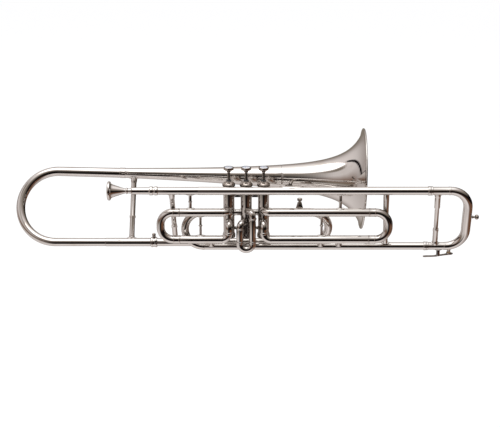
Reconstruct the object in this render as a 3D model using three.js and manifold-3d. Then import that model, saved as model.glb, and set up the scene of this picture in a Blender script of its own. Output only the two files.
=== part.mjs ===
// A three-valve tenor trombone in nickel plate: one bell section, three piston valves in a row,
// a main tuning slide with a water key, and one tuning slide on each valve.
// Millimetres. +X points out of the bell, +Y from the player's hand towards the bell side,
// +Z up along the valves. The origin is the middle of the second valve casing.
import * as THREE from 'three';
import { mergeVertices } from 'three/addons/utils/BufferGeometryUtils.js';
import Module from 'manifold-3d';

const wasm = await Module();
wasm.setup();

// ---------------------------------------------------------------- driving dimensions
const BELL_SIDES = 28;       // facets round the flare
const SIDES = 12;            // facets round a tube
const ROUND = 16;            // facets round a turned valve piece
const TIGHT_STEP = 30;       // degrees of a tight bend between two rings of the pipe
const WIDE_STEP = 22.5;      // the same on a wide bend
const WIDE_BEND = 30;        // radius from which a bend counts as wide
const GAP = 0.3;             // clearance between pieces that touch
const WALL = 0.6;            // tube wall
const SLIP = 0.45;           // radial clearance of an inner leg in its outer tube

// Valves
const VALVE_PITCH = 30.9;
const CASING_RADIUS = 9.9;
const CASING_BORE = 8.35;
const CASING_TOP = 46.7;
const CASING_BOTTOM = -49.4;
const PISTON_RADIUS = 7.95;
const PISTON_TOP = 26;
const STROKE = 14;
const CAP_FLOOR = -51.3;     // inside floor of a bottom cap
const PISTON_BOTTOM = CAP_FLOOR + STROKE + 1.1;
const STEM_RADIUS = 2.6;
const CAP_RADIUS = 11.5;
const CAP_SKIRT = 43;        // lower edge of a top cap
const CAP_TOP = 52;
const BUTTON_TOP = 78;
const BUTTON_RADIUS = 9.2;
const BUTTON_HEIGHT = 6.9;
const PEARL_RADIUS = 7.2;

// Long straight tubes along X: height, depth and outer radius of each
const LEAD = { y: -19, z: 39.6, radius: 7.2 };
const RETURN = { y: 2, z: -71.6, radius: 6.8 };
const BRANCH = { y: 20, z: -71, radius: 7.35 };
const SIDE_UPPER = { y: -20, z: -0.2, radius: 7.35 };
const SIDE_LOWER = { y: -20, z: -51.1, radius: 7.35 };
const PORT_Z = -6.4;         // height of the two outer ports of the valve row
const LOWER_PORT_Z = -21.5;  // height of the ports that feed the slides' lower legs

// Mouthpiece end
const MOUTHPIECE_RIM_X = -244;
const RECEIVER_START = -202.6;
const RECEIVER_END = -155;
const RECEIVER_RADIUS = 6.2;
const LEAD_STEP_X = -84;     // slim leadpipe ends, tuning slide's outer tube starts
const LEADPIPE_RADIUS = 6.8;

// Main tuning slide
const TUNING_RING_X = 322.6;
const TUNING_RING = 4.4;     // width of the end ring of an outer tube
const TUNING_SEAM_X = 360;
const TUNING_DEPTH = 33.4;   // how far the bow's centre line reaches past the seam
const TUNING_LEG = 96;
const TUNING_SWELL = 1.15;   // the bow is this much fatter in its middle

// Valve slides
const SLIDE_1_SEAM_X = -117.6;
const SLIDE_1_LEG = 58;       // length of an inner leg
const SLIDE_1_DEPTH = 22.4;   // how far the crook's centre line reaches past its ferrules
const SLIDE_3_SEAM_X = 217.4;
const SLIDE_3_LEG = 100;
const SLIDE_3_DEPTH = 23.8;
const ELBOW = 10.4;          // centre-line radius of an elbow out of a casing
const FERRULE = 12;
const FOOT = 1.5;            // thickness of a brace's foot over its tube
const SLIDE_2_HALF = 11.2;   // half the spacing of the second slide's legs
const SLIDE_2_RADIUS = 6.4;
const SLIDE_2_SEAM_Z = -54;

// Bell section
const BELL_RIM = new THREE.Vector3(214.4, 84, 30.3);
const BELL_RADIUS = 92;
const BELL_SLOPE = THREE.MathUtils.degToRad(1.42);
const BELL_JOIN = 150;       // from the rim back to the lap seam of flare and tail
const BELL_LENGTH = 439;     // from the rim back to the bow
const BELL_WALL = 0.9;
const BOW_START_X = -345.7;
const BOW_LEG_RADIUS = 7.3;
const BELL_LEG_X = -256;
const BELL_LEG_RADIUS = 7.65;
const LOCK_X = -168;
const LOCK_SEAM_X = LOCK_X - 5.7;
const TENON = 45;            // how far the bell leg slips into the branch tube

// Where the braces and feet stand along X; a leaning brace has its own lower end
const BELL_LEG_BRACE_X = -207.3;
const BELL_LEG_BRACE_LOW_X = -209.1;
const LEAD_BRANCH_BRACE_X = -131.6;
const LEAD_BRANCH_BRACE_LOW_X = -128.6;
const LEAD_SLIDE_1_BRACE_X = -98.7;
const SLIDE_1_POST_X = -81.2;
const SLIDE_1_FEET_X = [-63];
const BELL_STAY_X = 80;
const STAY_FOOT_LENGTH = 46;
const STAY_FOOT_WIDTH = 16.4;
const STAY_DROP = 16;         // how far below the bell's axis the stay points
const STAY_FOOT_LEAN = Math.PI / 6;   // how far the oval foot leans back from the tube's top
const SLIDE_3_POST_X = 133.9;
const SLIDE_3_FEET_X = [134, 166.5];
const LEAD_SLIDE_3_BRACE_X = 166.5;
const LEAD_RETURN_BRACE_X = 247.8;
const LEAD_RETURN_BRACE_LOW_X = 251;
const TUNING_BRACE_X = 337.9;
const TUNING_BRACE_LOW_X = 340.7;

const X = new THREE.Vector3(1, 0, 0);
const Y = new THREE.Vector3(0, 1, 0);
const Z = new THREE.Vector3(0, 0, 1);
const at = (x, y, z) => new THREE.Vector3(x, y, z);
const back = (vector) => vector.clone().negate();

// ---------------------------------------------------------------- materials
const finish = (color, roughness, metalness) =>
  new THREE.MeshStandardMaterial({ color, roughness, metalness });
const nickel = () => finish(0xd9d4cc, 0.12, 1);
const steel = () => finish(0x9a9a98, 0.35, 1);
const pearl = () => finish(0xdfe3f4, 0.22, 0);
const cork = () => finish(0xb48a5a, 0.9, 0);

// ---------------------------------------------------------------- solids
function solid(geometry) {
  const bare = geometry.index ? geometry.toNonIndexed() : geometry.clone();
  for (const name of Object.keys(bare.attributes)) {
    if (name !== 'position') bare.deleteAttribute(name);
  }
  const merged = mergeVertices(bare, 1e-4);
  return new wasm.Manifold(new wasm.Mesh({
    numProp: 3,
    vertProperties: Float32Array.from(merged.attributes.position.array),
    triVerts: Uint32Array.from(merged.index.array),
  }));
}

function geometryOf(manifold) {
  const mesh = manifold.getMesh();
  const geometry = new THREE.BufferGeometry();
  geometry.setAttribute('position', new THREE.BufferAttribute(mesh.vertProperties, 3));
  geometry.setIndex(new THREE.BufferAttribute(mesh.triVerts, 1));
  geometry.computeVertexNormals();
  return geometry;
}

const join = (...pieces) => pieces.reduce((sum, piece) => sum.add(piece));

// A pipe's centre line: straight runs and bends, with one ring of the pipe at each station.
class Route extends THREE.Curve {
  constructor(start, heading) {
    super();
    this.stations = [start.clone()];
    this.headings = [heading.clone().normalize()];
  }

  get steps() {
    return this.stations.length - 1;
  }

  get end() {
    return this.stations.at(-1);
  }

  straight(length) {
    const heading = this.headings.at(-1);
    this.stations.push(this.end.clone().addScaledVector(heading, length));
    this.headings.push(heading.clone());
    return this;
  }

  bend(radius, toward, angle = Math.PI / 2) {
    const from = this.end;
    const heading = this.headings.at(-1);
    const side = toward.clone().addScaledVector(heading, -toward.dot(heading)).normalize();
    const step = radius > WIDE_BEND ? WIDE_STEP : TIGHT_STEP;
    const count = Math.max(3, Math.round(THREE.MathUtils.radToDeg(angle) / step));
    for (let i = 1; i <= count; i++) {
      const turned = angle * i / count;
      this.stations.push(from.clone()
        .addScaledVector(heading, radius * Math.sin(turned))
        .addScaledVector(side, radius * (1 - Math.cos(turned))));
      this.headings.push(heading.clone().multiplyScalar(Math.cos(turned))
        .addScaledVector(side, Math.sin(turned)));
    }
    return this;
  }

  getPointAt(u) {
    return this.stations[Math.round(u * this.steps)].clone();
  }

  getTangentAt(u) {
    return this.headings[Math.round(u * this.steps)].clone();
  }
}

function disc(outer, inner = 0) {
  const shape = new THREE.Shape();
  shape.absarc(0, 0, outer, 0, 2 * Math.PI, false);
  if (inner > 0) {
    const hole = new THREE.Path();
    hole.absarc(0, 0, inner, 0, 2 * Math.PI, true);
    shape.holes.push(hole);
  }
  return shape;
}

function pipe(route, outer, inner = outer - WALL) {
  return new THREE.ExtrudeGeometry(disc(outer, inner), {
    steps: route.steps, extrudePath: route, bevelEnabled: false, curveSegments: SIDES / 2,
  });
}

// A pipe whose size follows scaleAt(share of its stations).
function taperedPipe(route, outer, inner, scaleAt) {
  const geometry = pipe(route, outer, inner);
  const position = geometry.getAttribute('position');
  const point = new THREE.Vector3();
  const arm = new THREE.Vector3();
  const onRing = (i) => Math.abs(arm.subVectors(point, route.stations[i]).dot(route.headings[i])) < 1e-3
    && arm.length() < outer + 1e-3;
  for (let v = 0; v < position.count; v++) {
    point.fromBufferAttribute(position, v);
    const i = route.stations.findIndex((_, index) => onRing(index));
    const scaled = arm.multiplyScalar(scaleAt(i / route.steps)).add(route.stations[i]);
    position.setXYZ(v, scaled.x, scaled.y, scaled.z);
  }
  return geometry;
}

const straightPipe = (tube, x0, x1, outer = tube.radius, inner = outer - WALL) =>
  pipe(new Route(at(x0, tube.y, tube.z), X).straight(x1 - x0), outer, inner);

// A turned piece: profile is [distance along the axis, radius] pairs.
function turned(profile, origin, direction, sides = SIDES) {
  const points = profile.map(([along, radius]) => new THREE.Vector2(radius, along));
  const geometry = new THREE.LatheGeometry(points, sides);
  geometry.applyQuaternion(new THREE.Quaternion().setFromUnitVectors(Y, direction.clone().normalize()));
  return geometry.translate(origin.x, origin.y, origin.z);
}

const collar = (origin, direction, length, outer, inner, sides = SIDES) => turned(
  [[0, inner], [0, outer], [length, outer], [length, inner], [0, inner]], origin, direction, sides);

const rod = (origin, direction, length, radius, sides = SIDES) =>
  turned([[0, 0], [0, radius], [length, radius], [length, 0]], origin, direction, sides);

const tubeCutter = (tube, radius = tube.radius) =>
  solid(rod(at(-500, tube.y, tube.z), X, 1000, radius + GAP));

const group = new THREE.Group();

function addPart(name, shape, material = nickel()) {
  const geometry = shape.isBufferGeometry ? shape : geometryOf(shape);
  const mesh = new THREE.Mesh(geometry, material);
  mesh.name = name;
  group.add(mesh);
  return mesh;
}

// ---------------------------------------------------------------- valves
const valveX = (valve) => (valve - 2) * VALVE_PITCH;
const casingCutter = (valve) =>
  solid(rod(at(valveX(valve), 0, -100), Z, 200, CASING_RADIUS + GAP, ROUND));

function topCap(x) {
  const clear = CASING_RADIUS + GAP;
  return turned([
    [CAP_SKIRT, clear], [CAP_SKIRT, CAP_RADIUS - 0.6], [CAP_SKIRT + 0.7, CAP_RADIUS],
    [CAP_SKIRT + 4.2, CAP_RADIUS], [CAP_SKIRT + 4.9, CAP_RADIUS - 1], [CAP_TOP - 2.6, 8.6],
    [CAP_TOP - 1.4, 5.6], [CAP_TOP, 5], [CAP_TOP, STEM_RADIUS + GAP],
    [CASING_TOP + GAP, STEM_RADIUS + GAP], [CASING_TOP + GAP, clear], [CAP_SKIRT, clear],
  ], at(x, 0, 0), Z, ROUND);
}

function bottomCap(x) {
  const clear = CASING_RADIUS + GAP;
  const vent = 2;
  return turned([
    [-46, clear], [CAP_FLOOR, clear], [CAP_FLOOR, vent], [-56.6, vent], [-56.6, 3.6],
    [-54.4, 4.4], [-54.2, 9.6], [-52.8, 11.2], [-49, 11.7], [-46, 11.2], [-46, clear],
  ], at(x, 0, 0), Z, ROUND);
}

// A piston with its stem. It is hollow above and below a web, and the lower hollow holds the spring.
function piston(x) {
  const bore = 6.2;
  const webLow = -15.5;
  const webHigh = -10;
  return turned([
    [webLow, 0], [webLow, bore], [PISTON_BOTTOM, bore], [PISTON_BOTTOM, PISTON_RADIUS],
    [PISTON_TOP, PISTON_RADIUS], [PISTON_TOP, bore], [webHigh, bore], [webHigh, STEM_RADIUS],
    [BUTTON_TOP - BUTTON_HEIGHT - GAP, STEM_RADIUS], [BUTTON_TOP - BUTTON_HEIGHT - GAP, 0],
  ], at(x, 0, 0), Z, ROUND);
}

function fingerButton(x) {
  const low = BUTTON_TOP - BUTTON_HEIGHT;
  const seat = PEARL_RADIUS + GAP;
  return turned([
    [low, 0], [low, 4], [low + 1.6, 7.6], [low + 3.4, BUTTON_RADIUS],
    [BUTTON_TOP - 1, BUTTON_RADIUS], [BUTTON_TOP - 0.3, BUTTON_RADIUS - 0.9],
    [BUTTON_TOP - 0.3, seat], [BUTTON_TOP - 1.9, seat], [BUTTON_TOP - 1.9, 0],
  ], at(x, 0, 0), Z, ROUND);
}

const buttonPearl = (x) =>
  turned([[-1.6, 0], [-1.6, PEARL_RADIUS], [-0.3, PEARL_RADIUS], [0, PEARL_RADIUS - 1.2], [0, 0]],
    at(x, 0, BUTTON_TOP), Z, ROUND);

// The return spring stands on the bottom cap and pushes up on the piston's web.
function valveSpring(x) {
  const turns = 5;
  const wire = 0.55;
  const radius = 5;
  const low = CAP_FLOOR + GAP + wire;
  const rise = 34;
  class Helix extends THREE.Curve {
    getPoint(t) {
      const angle = 2 * Math.PI * turns * t;
      return at(x + radius * Math.cos(angle), radius * Math.sin(angle), low + rise * t);
    }
  }
  return new THREE.ExtrudeGeometry(disc(wire), {
    steps: turns * 7, extrudePath: new Helix(), bevelEnabled: false, curveSegments: 2,
  });
}

function portTube(valve) {
  const x0 = valveX(valve);
  const tube = solid(pipe(new Route(at(x0 + 5, 0, PORT_Z), X).straight(VALVE_PITCH - 10), 5.6));
  return tube.subtract(casingCutter(valve)).subtract(casingCutter(valve + 1));
}

// The web soldered between two casings, just behind the leadpipe.
function casingBridge(valve) {
  const web = new THREE.BoxGeometry(VALVE_PITCH - 10, 3.2, 11);
  web.translate(valveX(valve) + VALVE_PITCH / 2, -1.5, 28);
  return solid(web).subtract(casingCutter(valve)).subtract(casingCutter(valve + 1));
}

for (const valve of [1, 2, 3]) {
  const x = valveX(valve);
  addPart(`valve_casing_${valve}`,
    collar(at(x, 0, CASING_BOTTOM), Z, CASING_TOP - CASING_BOTTOM, CASING_RADIUS, CASING_BORE, ROUND));
  addPart(`top_cap_${valve}`, topCap(x));
  addPart(`bottom_cap_${valve}`, bottomCap(x));
  addPart(`piston_${valve}`, piston(x), steel());
  addPart(`finger_button_${valve}`, fingerButton(x));
  addPart(`button_pearl_${valve}`, buttonPearl(x), pearl());
  addPart(`valve_spring_${valve}`, valveSpring(x), steel());
}
for (const valve of [1, 2]) {
  addPart(`port_tube_${valve}${valve + 1}`, portTube(valve));
  addPart(`casing_bridge_${valve}${valve + 1}`, casingBridge(valve));
}

// ---------------------------------------------------------------- leadpipe and mouthpiece
function mouthpiece() {
  const shank = [[36, 4.1], [41.4, 4.9], [64, 4.55]];
  const outside = [[0, 13.9], [0, 15.8], [1.8, 17], [4.8, 16.6], [6.2, 14.2], [7, 12.6],
    [20, 8], [32, 4.3], [33, 5.6], [35, 5.6]];
  const inside = [[64, 3.6], [26, 1.9], [20, 4.6], [12, 9.4], [4, 12.4], [0.6, 13.2]];
  const profile = [...outside, ...shank, ...inside];
  return turned([...profile, profile[0]], at(MOUTHPIECE_RIM_X, LEAD.y, LEAD.z), X, ROUND);
}

function mouthpieceReceiver() {
  const ring = 7.9;
  const length = RECEIVER_END - RECEIVER_START;
  const bore = 5.15;
  return turned([
    [0, bore], [0, 6.8], [1.6, 6.8], [2, RECEIVER_RADIUS], [length - 16, 6.4],
    [length - 15, ring], [length - 9.6, ring], [length - 8.6, 6.9], [length - 7.2, 6.9],
    [length - 6.2, ring], [length - 1, ring], [length, 6.9], [length, bore], [0, bore],
  ], at(RECEIVER_START, LEAD.y, LEAD.z), X);
}

// The long outer tube ends in a ring where the tuning slide pushes in.
function ringedTube(tube, x0) {
  const half = TUNING_RING / 2;
  const ring = collar(at(TUNING_RING_X - half, tube.y, tube.z), X, TUNING_RING,
    tube.radius + 1.1, tube.radius - 0.3);
  return join(solid(straightPipe(tube, x0, TUNING_RING_X + half)), solid(ring));
}

addPart('mouthpiece', mouthpiece());
addPart('mouthpiece_receiver', mouthpieceReceiver());
addPart('leadpipe', straightPipe(LEAD, RECEIVER_END + GAP, LEAD_STEP_X - GAP, LEADPIPE_RADIUS));
addPart('lead_slide_tube', ringedTube(LEAD, LEAD_STEP_X));

// ---------------------------------------------------------------- lower tubes and their bends
const RETURN_BEND_X = -77.4;
const BRANCH_BEND_X = 114.3;

// From a port on the end of the valve row, half a turn down onto a straight tube.
function portBend(valve, outward, bendX, tube) {
  const portX = valveX(valve);
  const drop = at(0, tube.y, tube.z - PORT_Z);
  const route = new Route(at(portX + outward.x * 5, 0, PORT_Z), outward)
    .straight(Math.abs(bendX - portX) - 5)
    .bend(drop.length() / 2, drop, Math.PI);
  return solid(pipe(route, tube.radius)).subtract(casingCutter(valve));
}

addPart('return_bend', portBend(1, back(X), RETURN_BEND_X, RETURN));
addPart('return_tube', ringedTube(RETURN, RETURN_BEND_X + GAP));
addPart('branch_bend', portBend(3, X, BRANCH_BEND_X, BRANCH));
addPart('branch_tube', straightPipe(BRANCH, LOCK_SEAM_X, BRANCH_BEND_X - GAP));

// ---------------------------------------------------------------- braces
// A turned strut between two tubes, with a broad foot on each that is hollowed to sit on its tube.
// The shape between the feet is [share of the length, radius] pairs; cutters take away the tubes.
function strut(from, to, shape, feet, cutters) {
  const span = to.clone().sub(from);
  const length = span.length();
  const [start, end] = [feet[0].reach, length - feet[1].reach];
  const profile = [[0, 0], [0, feet[0].spread], [start, feet[0].spread],
    ...shape.map(([share, radius]) => [THREE.MathUtils.lerp(start, end, share), radius]),
    [end, feet[1].spread], [length, feet[1].spread], [length, 0]];
  return cutters.reduce((piece, cutter) => piece.subtract(cutter), solid(turned(profile, from, span)));
}

function brace(from, to, shape, feet) {
  const sized = feet.map((foot) => ({ radius: foot.tube.radius, ...foot }));
  return strut(from, to, shape,
    sized.map(({ radius, spread }) => ({ reach: radius + FOOT, spread })),
    sized.map(({ tube, radius }) => tubeCutter(tube, radius)));
}

const centre = (tube, x) => at(x, tube.y, tube.z);
const ringed = (radius, share, ring = radius + 0.9) => [[0, radius], [share - 0.02, radius],
  [share - 0.02, ring], [share + 0.02, ring], [share + 0.02, radius], [1, radius]];

addPart('lead_branch_brace', brace(
  centre(LEAD, LEAD_BRANCH_BRACE_X), centre(BRANCH, LEAD_BRANCH_BRACE_LOW_X), ringed(4.4, 0.72),
  [{ tube: LEAD, radius: LEADPIPE_RADIUS, spread: 5.2 }, { tube: BRANCH, spread: 5.4 }]));
addPart('lead_slide_1_brace', brace(
  centre(LEAD, LEAD_SLIDE_1_BRACE_X), centre(SIDE_UPPER, LEAD_SLIDE_1_BRACE_X), ringed(2.8, 0.5),
  [{ tube: LEAD, radius: LEADPIPE_RADIUS, spread: 5.2 }, { tube: SIDE_UPPER, spread: 4.2 }]));
addPart('lead_slide_3_brace', brace(
  centre(LEAD, LEAD_SLIDE_3_BRACE_X), centre(SIDE_UPPER, LEAD_SLIDE_3_BRACE_X), ringed(2.7, 0.6),
  [{ tube: LEAD, spread: 6 }, { tube: SIDE_UPPER, spread: 6 }]));
// This one passes behind the crook of the third slide, so it stands on the leadpipe's far side.
addPart('lead_return_brace', brace(
  at(LEAD_RETURN_BRACE_X, LEAD.y + 6, LEAD.z), centre(RETURN, LEAD_RETURN_BRACE_LOW_X),
  [[0, 4.4], [1, 3.8]], [{ tube: LEAD, spread: 4.4 }, { tube: RETURN, spread: 5 }]));

// ---------------------------------------------------------------- valve slides
// Upper leg: out of the casing's front, then round to run along X.
function slideUpperTube(valve, outward, seamX) {
  const x = valveX(valve);
  const front = at(x, -(CASING_RADIUS - 3), SIDE_UPPER.z);
  const run = -SIDE_UPPER.y - ELBOW + front.y;
  const elbow = new Route(front, back(Y)).straight(run).bend(ELBOW, outward);
  const sleeveX = x + outward.x * (ELBOW - 0.5);
  const low = Math.min(sleeveX, seamX);
  const high = Math.max(sleeveX, seamX);
  return join(solid(pipe(elbow, SIDE_UPPER.radius - 0.5)), solid(straightPipe(SIDE_UPPER, low, high)))
    .subtract(casingCutter(valve));
}

// Lower leg: out of the casing's front, down, and round to run along X.
function slideLowerTube(valve, outward, seamX, postX, feetX) {
  const x = valveX(valve);
  const turnUp = 13;
  const ringZ = -38.8;
  const front = at(x, -(CASING_RADIUS - 3), LOWER_PORT_Z);
  const knuckle = new Route(front, back(Y))
    .straight(-SIDE_LOWER.y - ELBOW + front.y)
    .bend(ELBOW, back(Z))
    .straight(LOWER_PORT_Z - ELBOW - SIDE_LOWER.z - turnUp)
    .bend(turnUp, outward);
  const ring = collar(at(x, SIDE_LOWER.y, ringZ - 2.4), Z, 4.8,
    SIDE_LOWER.radius + 0.5, SIDE_LOWER.radius - 1);
  const sleeveX = x + outward.x * (turnUp - 0.5);
  const low = Math.min(sleeveX, seamX);
  const high = Math.max(sleeveX, seamX);
  const post = brace(centre(SIDE_UPPER, postX), centre(SIDE_LOWER, postX), ringed(2.3, 0.4), [
    { tube: SIDE_UPPER, spread: 4.2 },
    { tube: SIDE_LOWER, radius: SIDE_LOWER.radius - 2 * GAP, spread: 5 },
  ]);
  const wholeLeg = join(solid(pipe(knuckle, SIDE_LOWER.radius - 0.35)), solid(ring),
    solid(straightPipe(SIDE_LOWER, low, high)), post);
  return feetX.reduce((leg, footX) => leg.add(returnFoot(footX)), wholeLeg).subtract(casingCutter(valve));
}

// A short post under a slide's lower tube that stands on the return tube.
const returnFoot = (x) => brace(centre(SIDE_LOWER, x), centre(RETURN, x), [[0, 2.6], [1, 2.6]], [
  { tube: SIDE_LOWER, radius: SIDE_LOWER.radius - 2 * GAP, spread: 2.6 }, { tube: RETURN, spread: 4 },
]);

// The part of a valve slide that pulls out: two inner legs, two ferrules and the crook.
function sideCrook(seamX, outward, legLength, depth) {
  const legStart = 2;
  const half = (SIDE_UPPER.z - SIDE_LOWER.z) / 2;
  const corner = Math.min(depth, half);
  const start = at(seamX + outward.x * (FERRULE - 0.5), SIDE_UPPER.y, SIDE_UPPER.z);
  const bow = new Route(start, outward).straight(depth - corner + 0.5).bend(corner, back(Z));
  if (half > corner) bow.straight(2 * (half - corner));
  bow.bend(corner, back(outward)).straight(depth - corner + 0.5);
  const pieces = [solid(pipe(bow, SIDE_UPPER.radius - 0.15))];
  for (const tube of [SIDE_UPPER, SIDE_LOWER]) {
    const inner = tube.radius - WALL - SLIP;
    const seam = centre(tube, seamX + outward.x * GAP);
    pieces.push(solid(collar(seam, outward, FERRULE, tube.radius + 0.25, inner - 0.4)));
    pieces.push(solid(collar(centre(tube, seamX + outward.x * legStart), back(outward), legLength,
      inner, inner - WALL)));
  }
  return join(...pieces);
}

addPart('slide_1_upper_tube', slideUpperTube(1, back(X), SLIDE_1_SEAM_X));
addPart('slide_1_lower_tube',
  slideLowerTube(1, back(X), SLIDE_1_SEAM_X, SLIDE_1_POST_X, SLIDE_1_FEET_X));
addPart('slide_1_crook', sideCrook(SLIDE_1_SEAM_X, back(X), SLIDE_1_LEG, SLIDE_1_DEPTH));
addPart('slide_3_upper_tube', slideUpperTube(3, X, SLIDE_3_SEAM_X));
addPart('slide_3_lower_tube',
  slideLowerTube(3, X, SLIDE_3_SEAM_X, SLIDE_3_POST_X, SLIDE_3_FEET_X));
addPart('slide_3_crook', sideCrook(SLIDE_3_SEAM_X, X, SLIDE_3_LEG, SLIDE_3_DEPTH));

// The second slide hangs down in front of its casing: each leg leaves the casing's front
// sideways and turns down.
function hangingTube(side, portZ, kneeZ) {
  const front = at(side * 1.5, -(CASING_RADIUS - 3), portZ);
  const leg = at(side * SLIDE_2_HALF, SIDE_UPPER.y, kneeZ);
  const arm = leg.clone().sub(front);
  const out = at(arm.x, arm.y, 0);
  const knee = 7.5;
  const route = new Route(front, out).straight(out.length() - knee).bend(knee, back(Z));
  route.straight(route.end.z - SLIDE_2_SEAM_Z);
  const sleeve = collar(at(leg.x, leg.y, SLIDE_2_SEAM_Z), Z, kneeZ - SLIDE_2_SEAM_Z,
    SLIDE_2_RADIUS, SLIDE_2_RADIUS - 1);
  const bore = solid(rod(at(leg.x, leg.y, SLIDE_2_SEAM_Z - 1), Z, kneeZ - SLIDE_2_SEAM_Z + 1,
    SLIDE_2_RADIUS - WALL));
  const ring = collar(at(leg.x, leg.y, kneeZ - 1), Z, 2.4, SLIDE_2_RADIUS + 0.6, SLIDE_2_RADIUS - 1);
  return join(solid(pipe(route, SLIDE_2_RADIUS - 0.5)), solid(sleeve), solid(ring))
    .subtract(bore).subtract(casingCutter(2));
}

function hangingCrook() {
  const inner = SLIDE_2_RADIUS - WALL - SLIP;
  const low = SLIDE_2_SEAM_Z - GAP;
  const start = at(-SLIDE_2_HALF, SIDE_UPPER.y, low - 0.5);
  const bow = new Route(start, back(Z)).straight(4.2).bend(SLIDE_2_HALF, X, Math.PI).straight(4.2);
  const pieces = [solid(pipe(bow, SLIDE_2_RADIUS))];
  for (const side of [-1, 1]) {
    const top = at(side * SLIDE_2_HALF, SIDE_UPPER.y, low);
    pieces.push(solid(collar(top, back(Z), 3, SLIDE_2_RADIUS + 0.5, inner - 0.4)));
    pieces.push(solid(collar(at(top.x, top.y, low - 1.5), Z, 18, inner, inner - WALL)));
  }
  return join(...pieces);
}

addPart('slide_2_left_tube', hangingTube(-1, LOWER_PORT_Z, -31));
addPart('slide_2_right_tube', hangingTube(1, -1.5, -12.4));
addPart('slide_2_crook', hangingCrook());

// ---------------------------------------------------------------- main tuning slide
function tuningSlide() {
  const drop = centre(RETURN, 0).sub(centre(LEAD, 0));
  const half = drop.length() / 2;
  const corner = TUNING_DEPTH;
  const start = centre(LEAD, TUNING_SEAM_X - 0.5);
  const bow = new Route(start, X).straight(0.5).bend(corner, drop);
  bow.straight(half - corner).straight(half - corner);
  bow.bend(corner, back(X)).straight(0.5);
  const swell = (share) => 1 + TUNING_SWELL / LEAD.radius * Math.sin(Math.PI * share);
  const pieces = [solid(taperedPipe(bow, LEAD.radius, LEAD.radius - WALL - 0.4, swell))];
  for (const tube of [LEAD, RETURN]) {
    const inner = tube.radius - WALL - SLIP;
    const shoulder = TUNING_RING_X + TUNING_RING / 2 + GAP;
    pieces.push(solid(collar(centre(tube, shoulder), X, TUNING_SEAM_X - shoulder, tube.radius,
      inner - 0.4)));
    pieces.push(solid(collar(centre(tube, shoulder + 2), back(X), TUNING_LEG, inner, inner - WALL)));
  }
  pieces.push(solid(tuningKnob()), solid(waterNipple()), waterKeySaddle());
  const bore = solid(rod(centre(RETURN, TUNING_RING_X), X, 60, RETURN.radius - WALL - SLIP - 0.5));
  return join(...pieces).subtract(bore);
}

const KNOB_AT = at(401.3, -12.2, -11.5);
const tuningKnob = () => turned([
  [-3, 0], [-3, 1.7], [1, 1.5], [2, 2.6], [3.2, 2.6], [4, 1.5], [5.2, 1.5], [5.8, 3], [7.6, 4.4],
  [10.4, 4.4], [12, 3], [12.6, 0],
], KNOB_AT, X);

// Water key: a saddle under the lower leg, a nipple with its hole, and a lever on the saddle's pin.
const KEY_PIVOT = at(347.5, RETURN.y, -88.3);
const KEY_UNDER = RETURN.z - RETURN.radius;    // underside of the lower leg
const NIPPLE_X = 366.5;
const NIPPLE_LOW = -82.2;
const CORK_HEIGHT = 1.9;

const waterNipple = () => rod(at(NIPPLE_X, RETURN.y, KEY_UNDER + 1.6), back(Z),
  KEY_UNDER + 1.6 - NIPPLE_LOW, 3.2);

function waterKeySaddle() {
  const plates = [-1, 1].map((side) => {
    const plate = new THREE.BoxGeometry(5.4, 1.2, 13);
    plate.translate(KEY_PIVOT.x, RETURN.y + side * 3.1, KEY_UNDER - 5.6);
    return solid(plate);
  });
  const base = new THREE.BoxGeometry(7.4, 7.4, 2);
  base.translate(KEY_PIVOT.x, RETURN.y, KEY_UNDER - 0.6);
  const pin = solid(rod(at(KEY_PIVOT.x, RETURN.y - 4, KEY_PIVOT.z), Y, 8, 0.8, 8));
  return join(...plates, solid(base), pin);
}

// A flat bar of the lever between two points of its side view.
function leverBar(x0, z0, x1, z1, width, thickness) {
  const bar = new THREE.BoxGeometry(Math.hypot(x1 - x0, z1 - z0), width, thickness);
  bar.rotateY(-Math.atan2(z1 - z0, x1 - x0));
  return solid(bar.translate((x0 + x1) / 2, RETURN.y, (z0 + z1) / 2));
}

function waterKey() {
  const hub = solid(rod(at(KEY_PIVOT.x, RETURN.y - 2, KEY_PIVOT.z), Y, 4, 2.2));
  const cupTop = NIPPLE_LOW - GAP - CORK_HEIGHT - GAP;
  const cup = solid(rod(at(NIPPLE_X, RETURN.y, cupTop), back(Z), 2.6, 4.2));
  const pinHole = solid(rod(at(KEY_PIVOT.x, RETURN.y - 5, KEY_PIVOT.z), Y, 10, 0.8 + GAP, 8));
  return join(hub, leverBar(320.6, -91.6, 343.6, -91, 7, 1.3), leverBar(340, -91, 348, -90.2, 3.4, 1.5),
    leverBar(348, -89.6, 360, -87.6, 3.4, 1.8), leverBar(358, -87.9, 373.4, -86.4, 3.8, 1.8), cup)
    .subtract(pinHole);
}

const waterKeyCork = () =>
  rod(at(NIPPLE_X, RETURN.y, NIPPLE_LOW - GAP), back(Z), CORK_HEIGHT, 3.4);

addPart('tuning_slide', tuningSlide());
addPart('tuning_brace', brace(centre(LEAD, TUNING_BRACE_X), centre(RETURN, TUNING_BRACE_LOW_X),
  [[0, 4.9], [0.28, 4.9], [0.28, 3.9], [0.7, 3.9], [0.7, 5.2], [0.74, 5.2], [0.74, 4.8], [1, 4.8]],
  [{ tube: LEAD, spread: 5.6 }, { tube: RETURN, spread: 5.6 }]));
addPart('water_key', waterKey());
addPart('water_key_cork', waterKeyCork(), cork());

// ---------------------------------------------------------------- bell section
const legDrop = new THREE.Vector3();
const bellAxis = new THREE.Vector3();
const bowStart = new THREE.Vector3();
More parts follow.
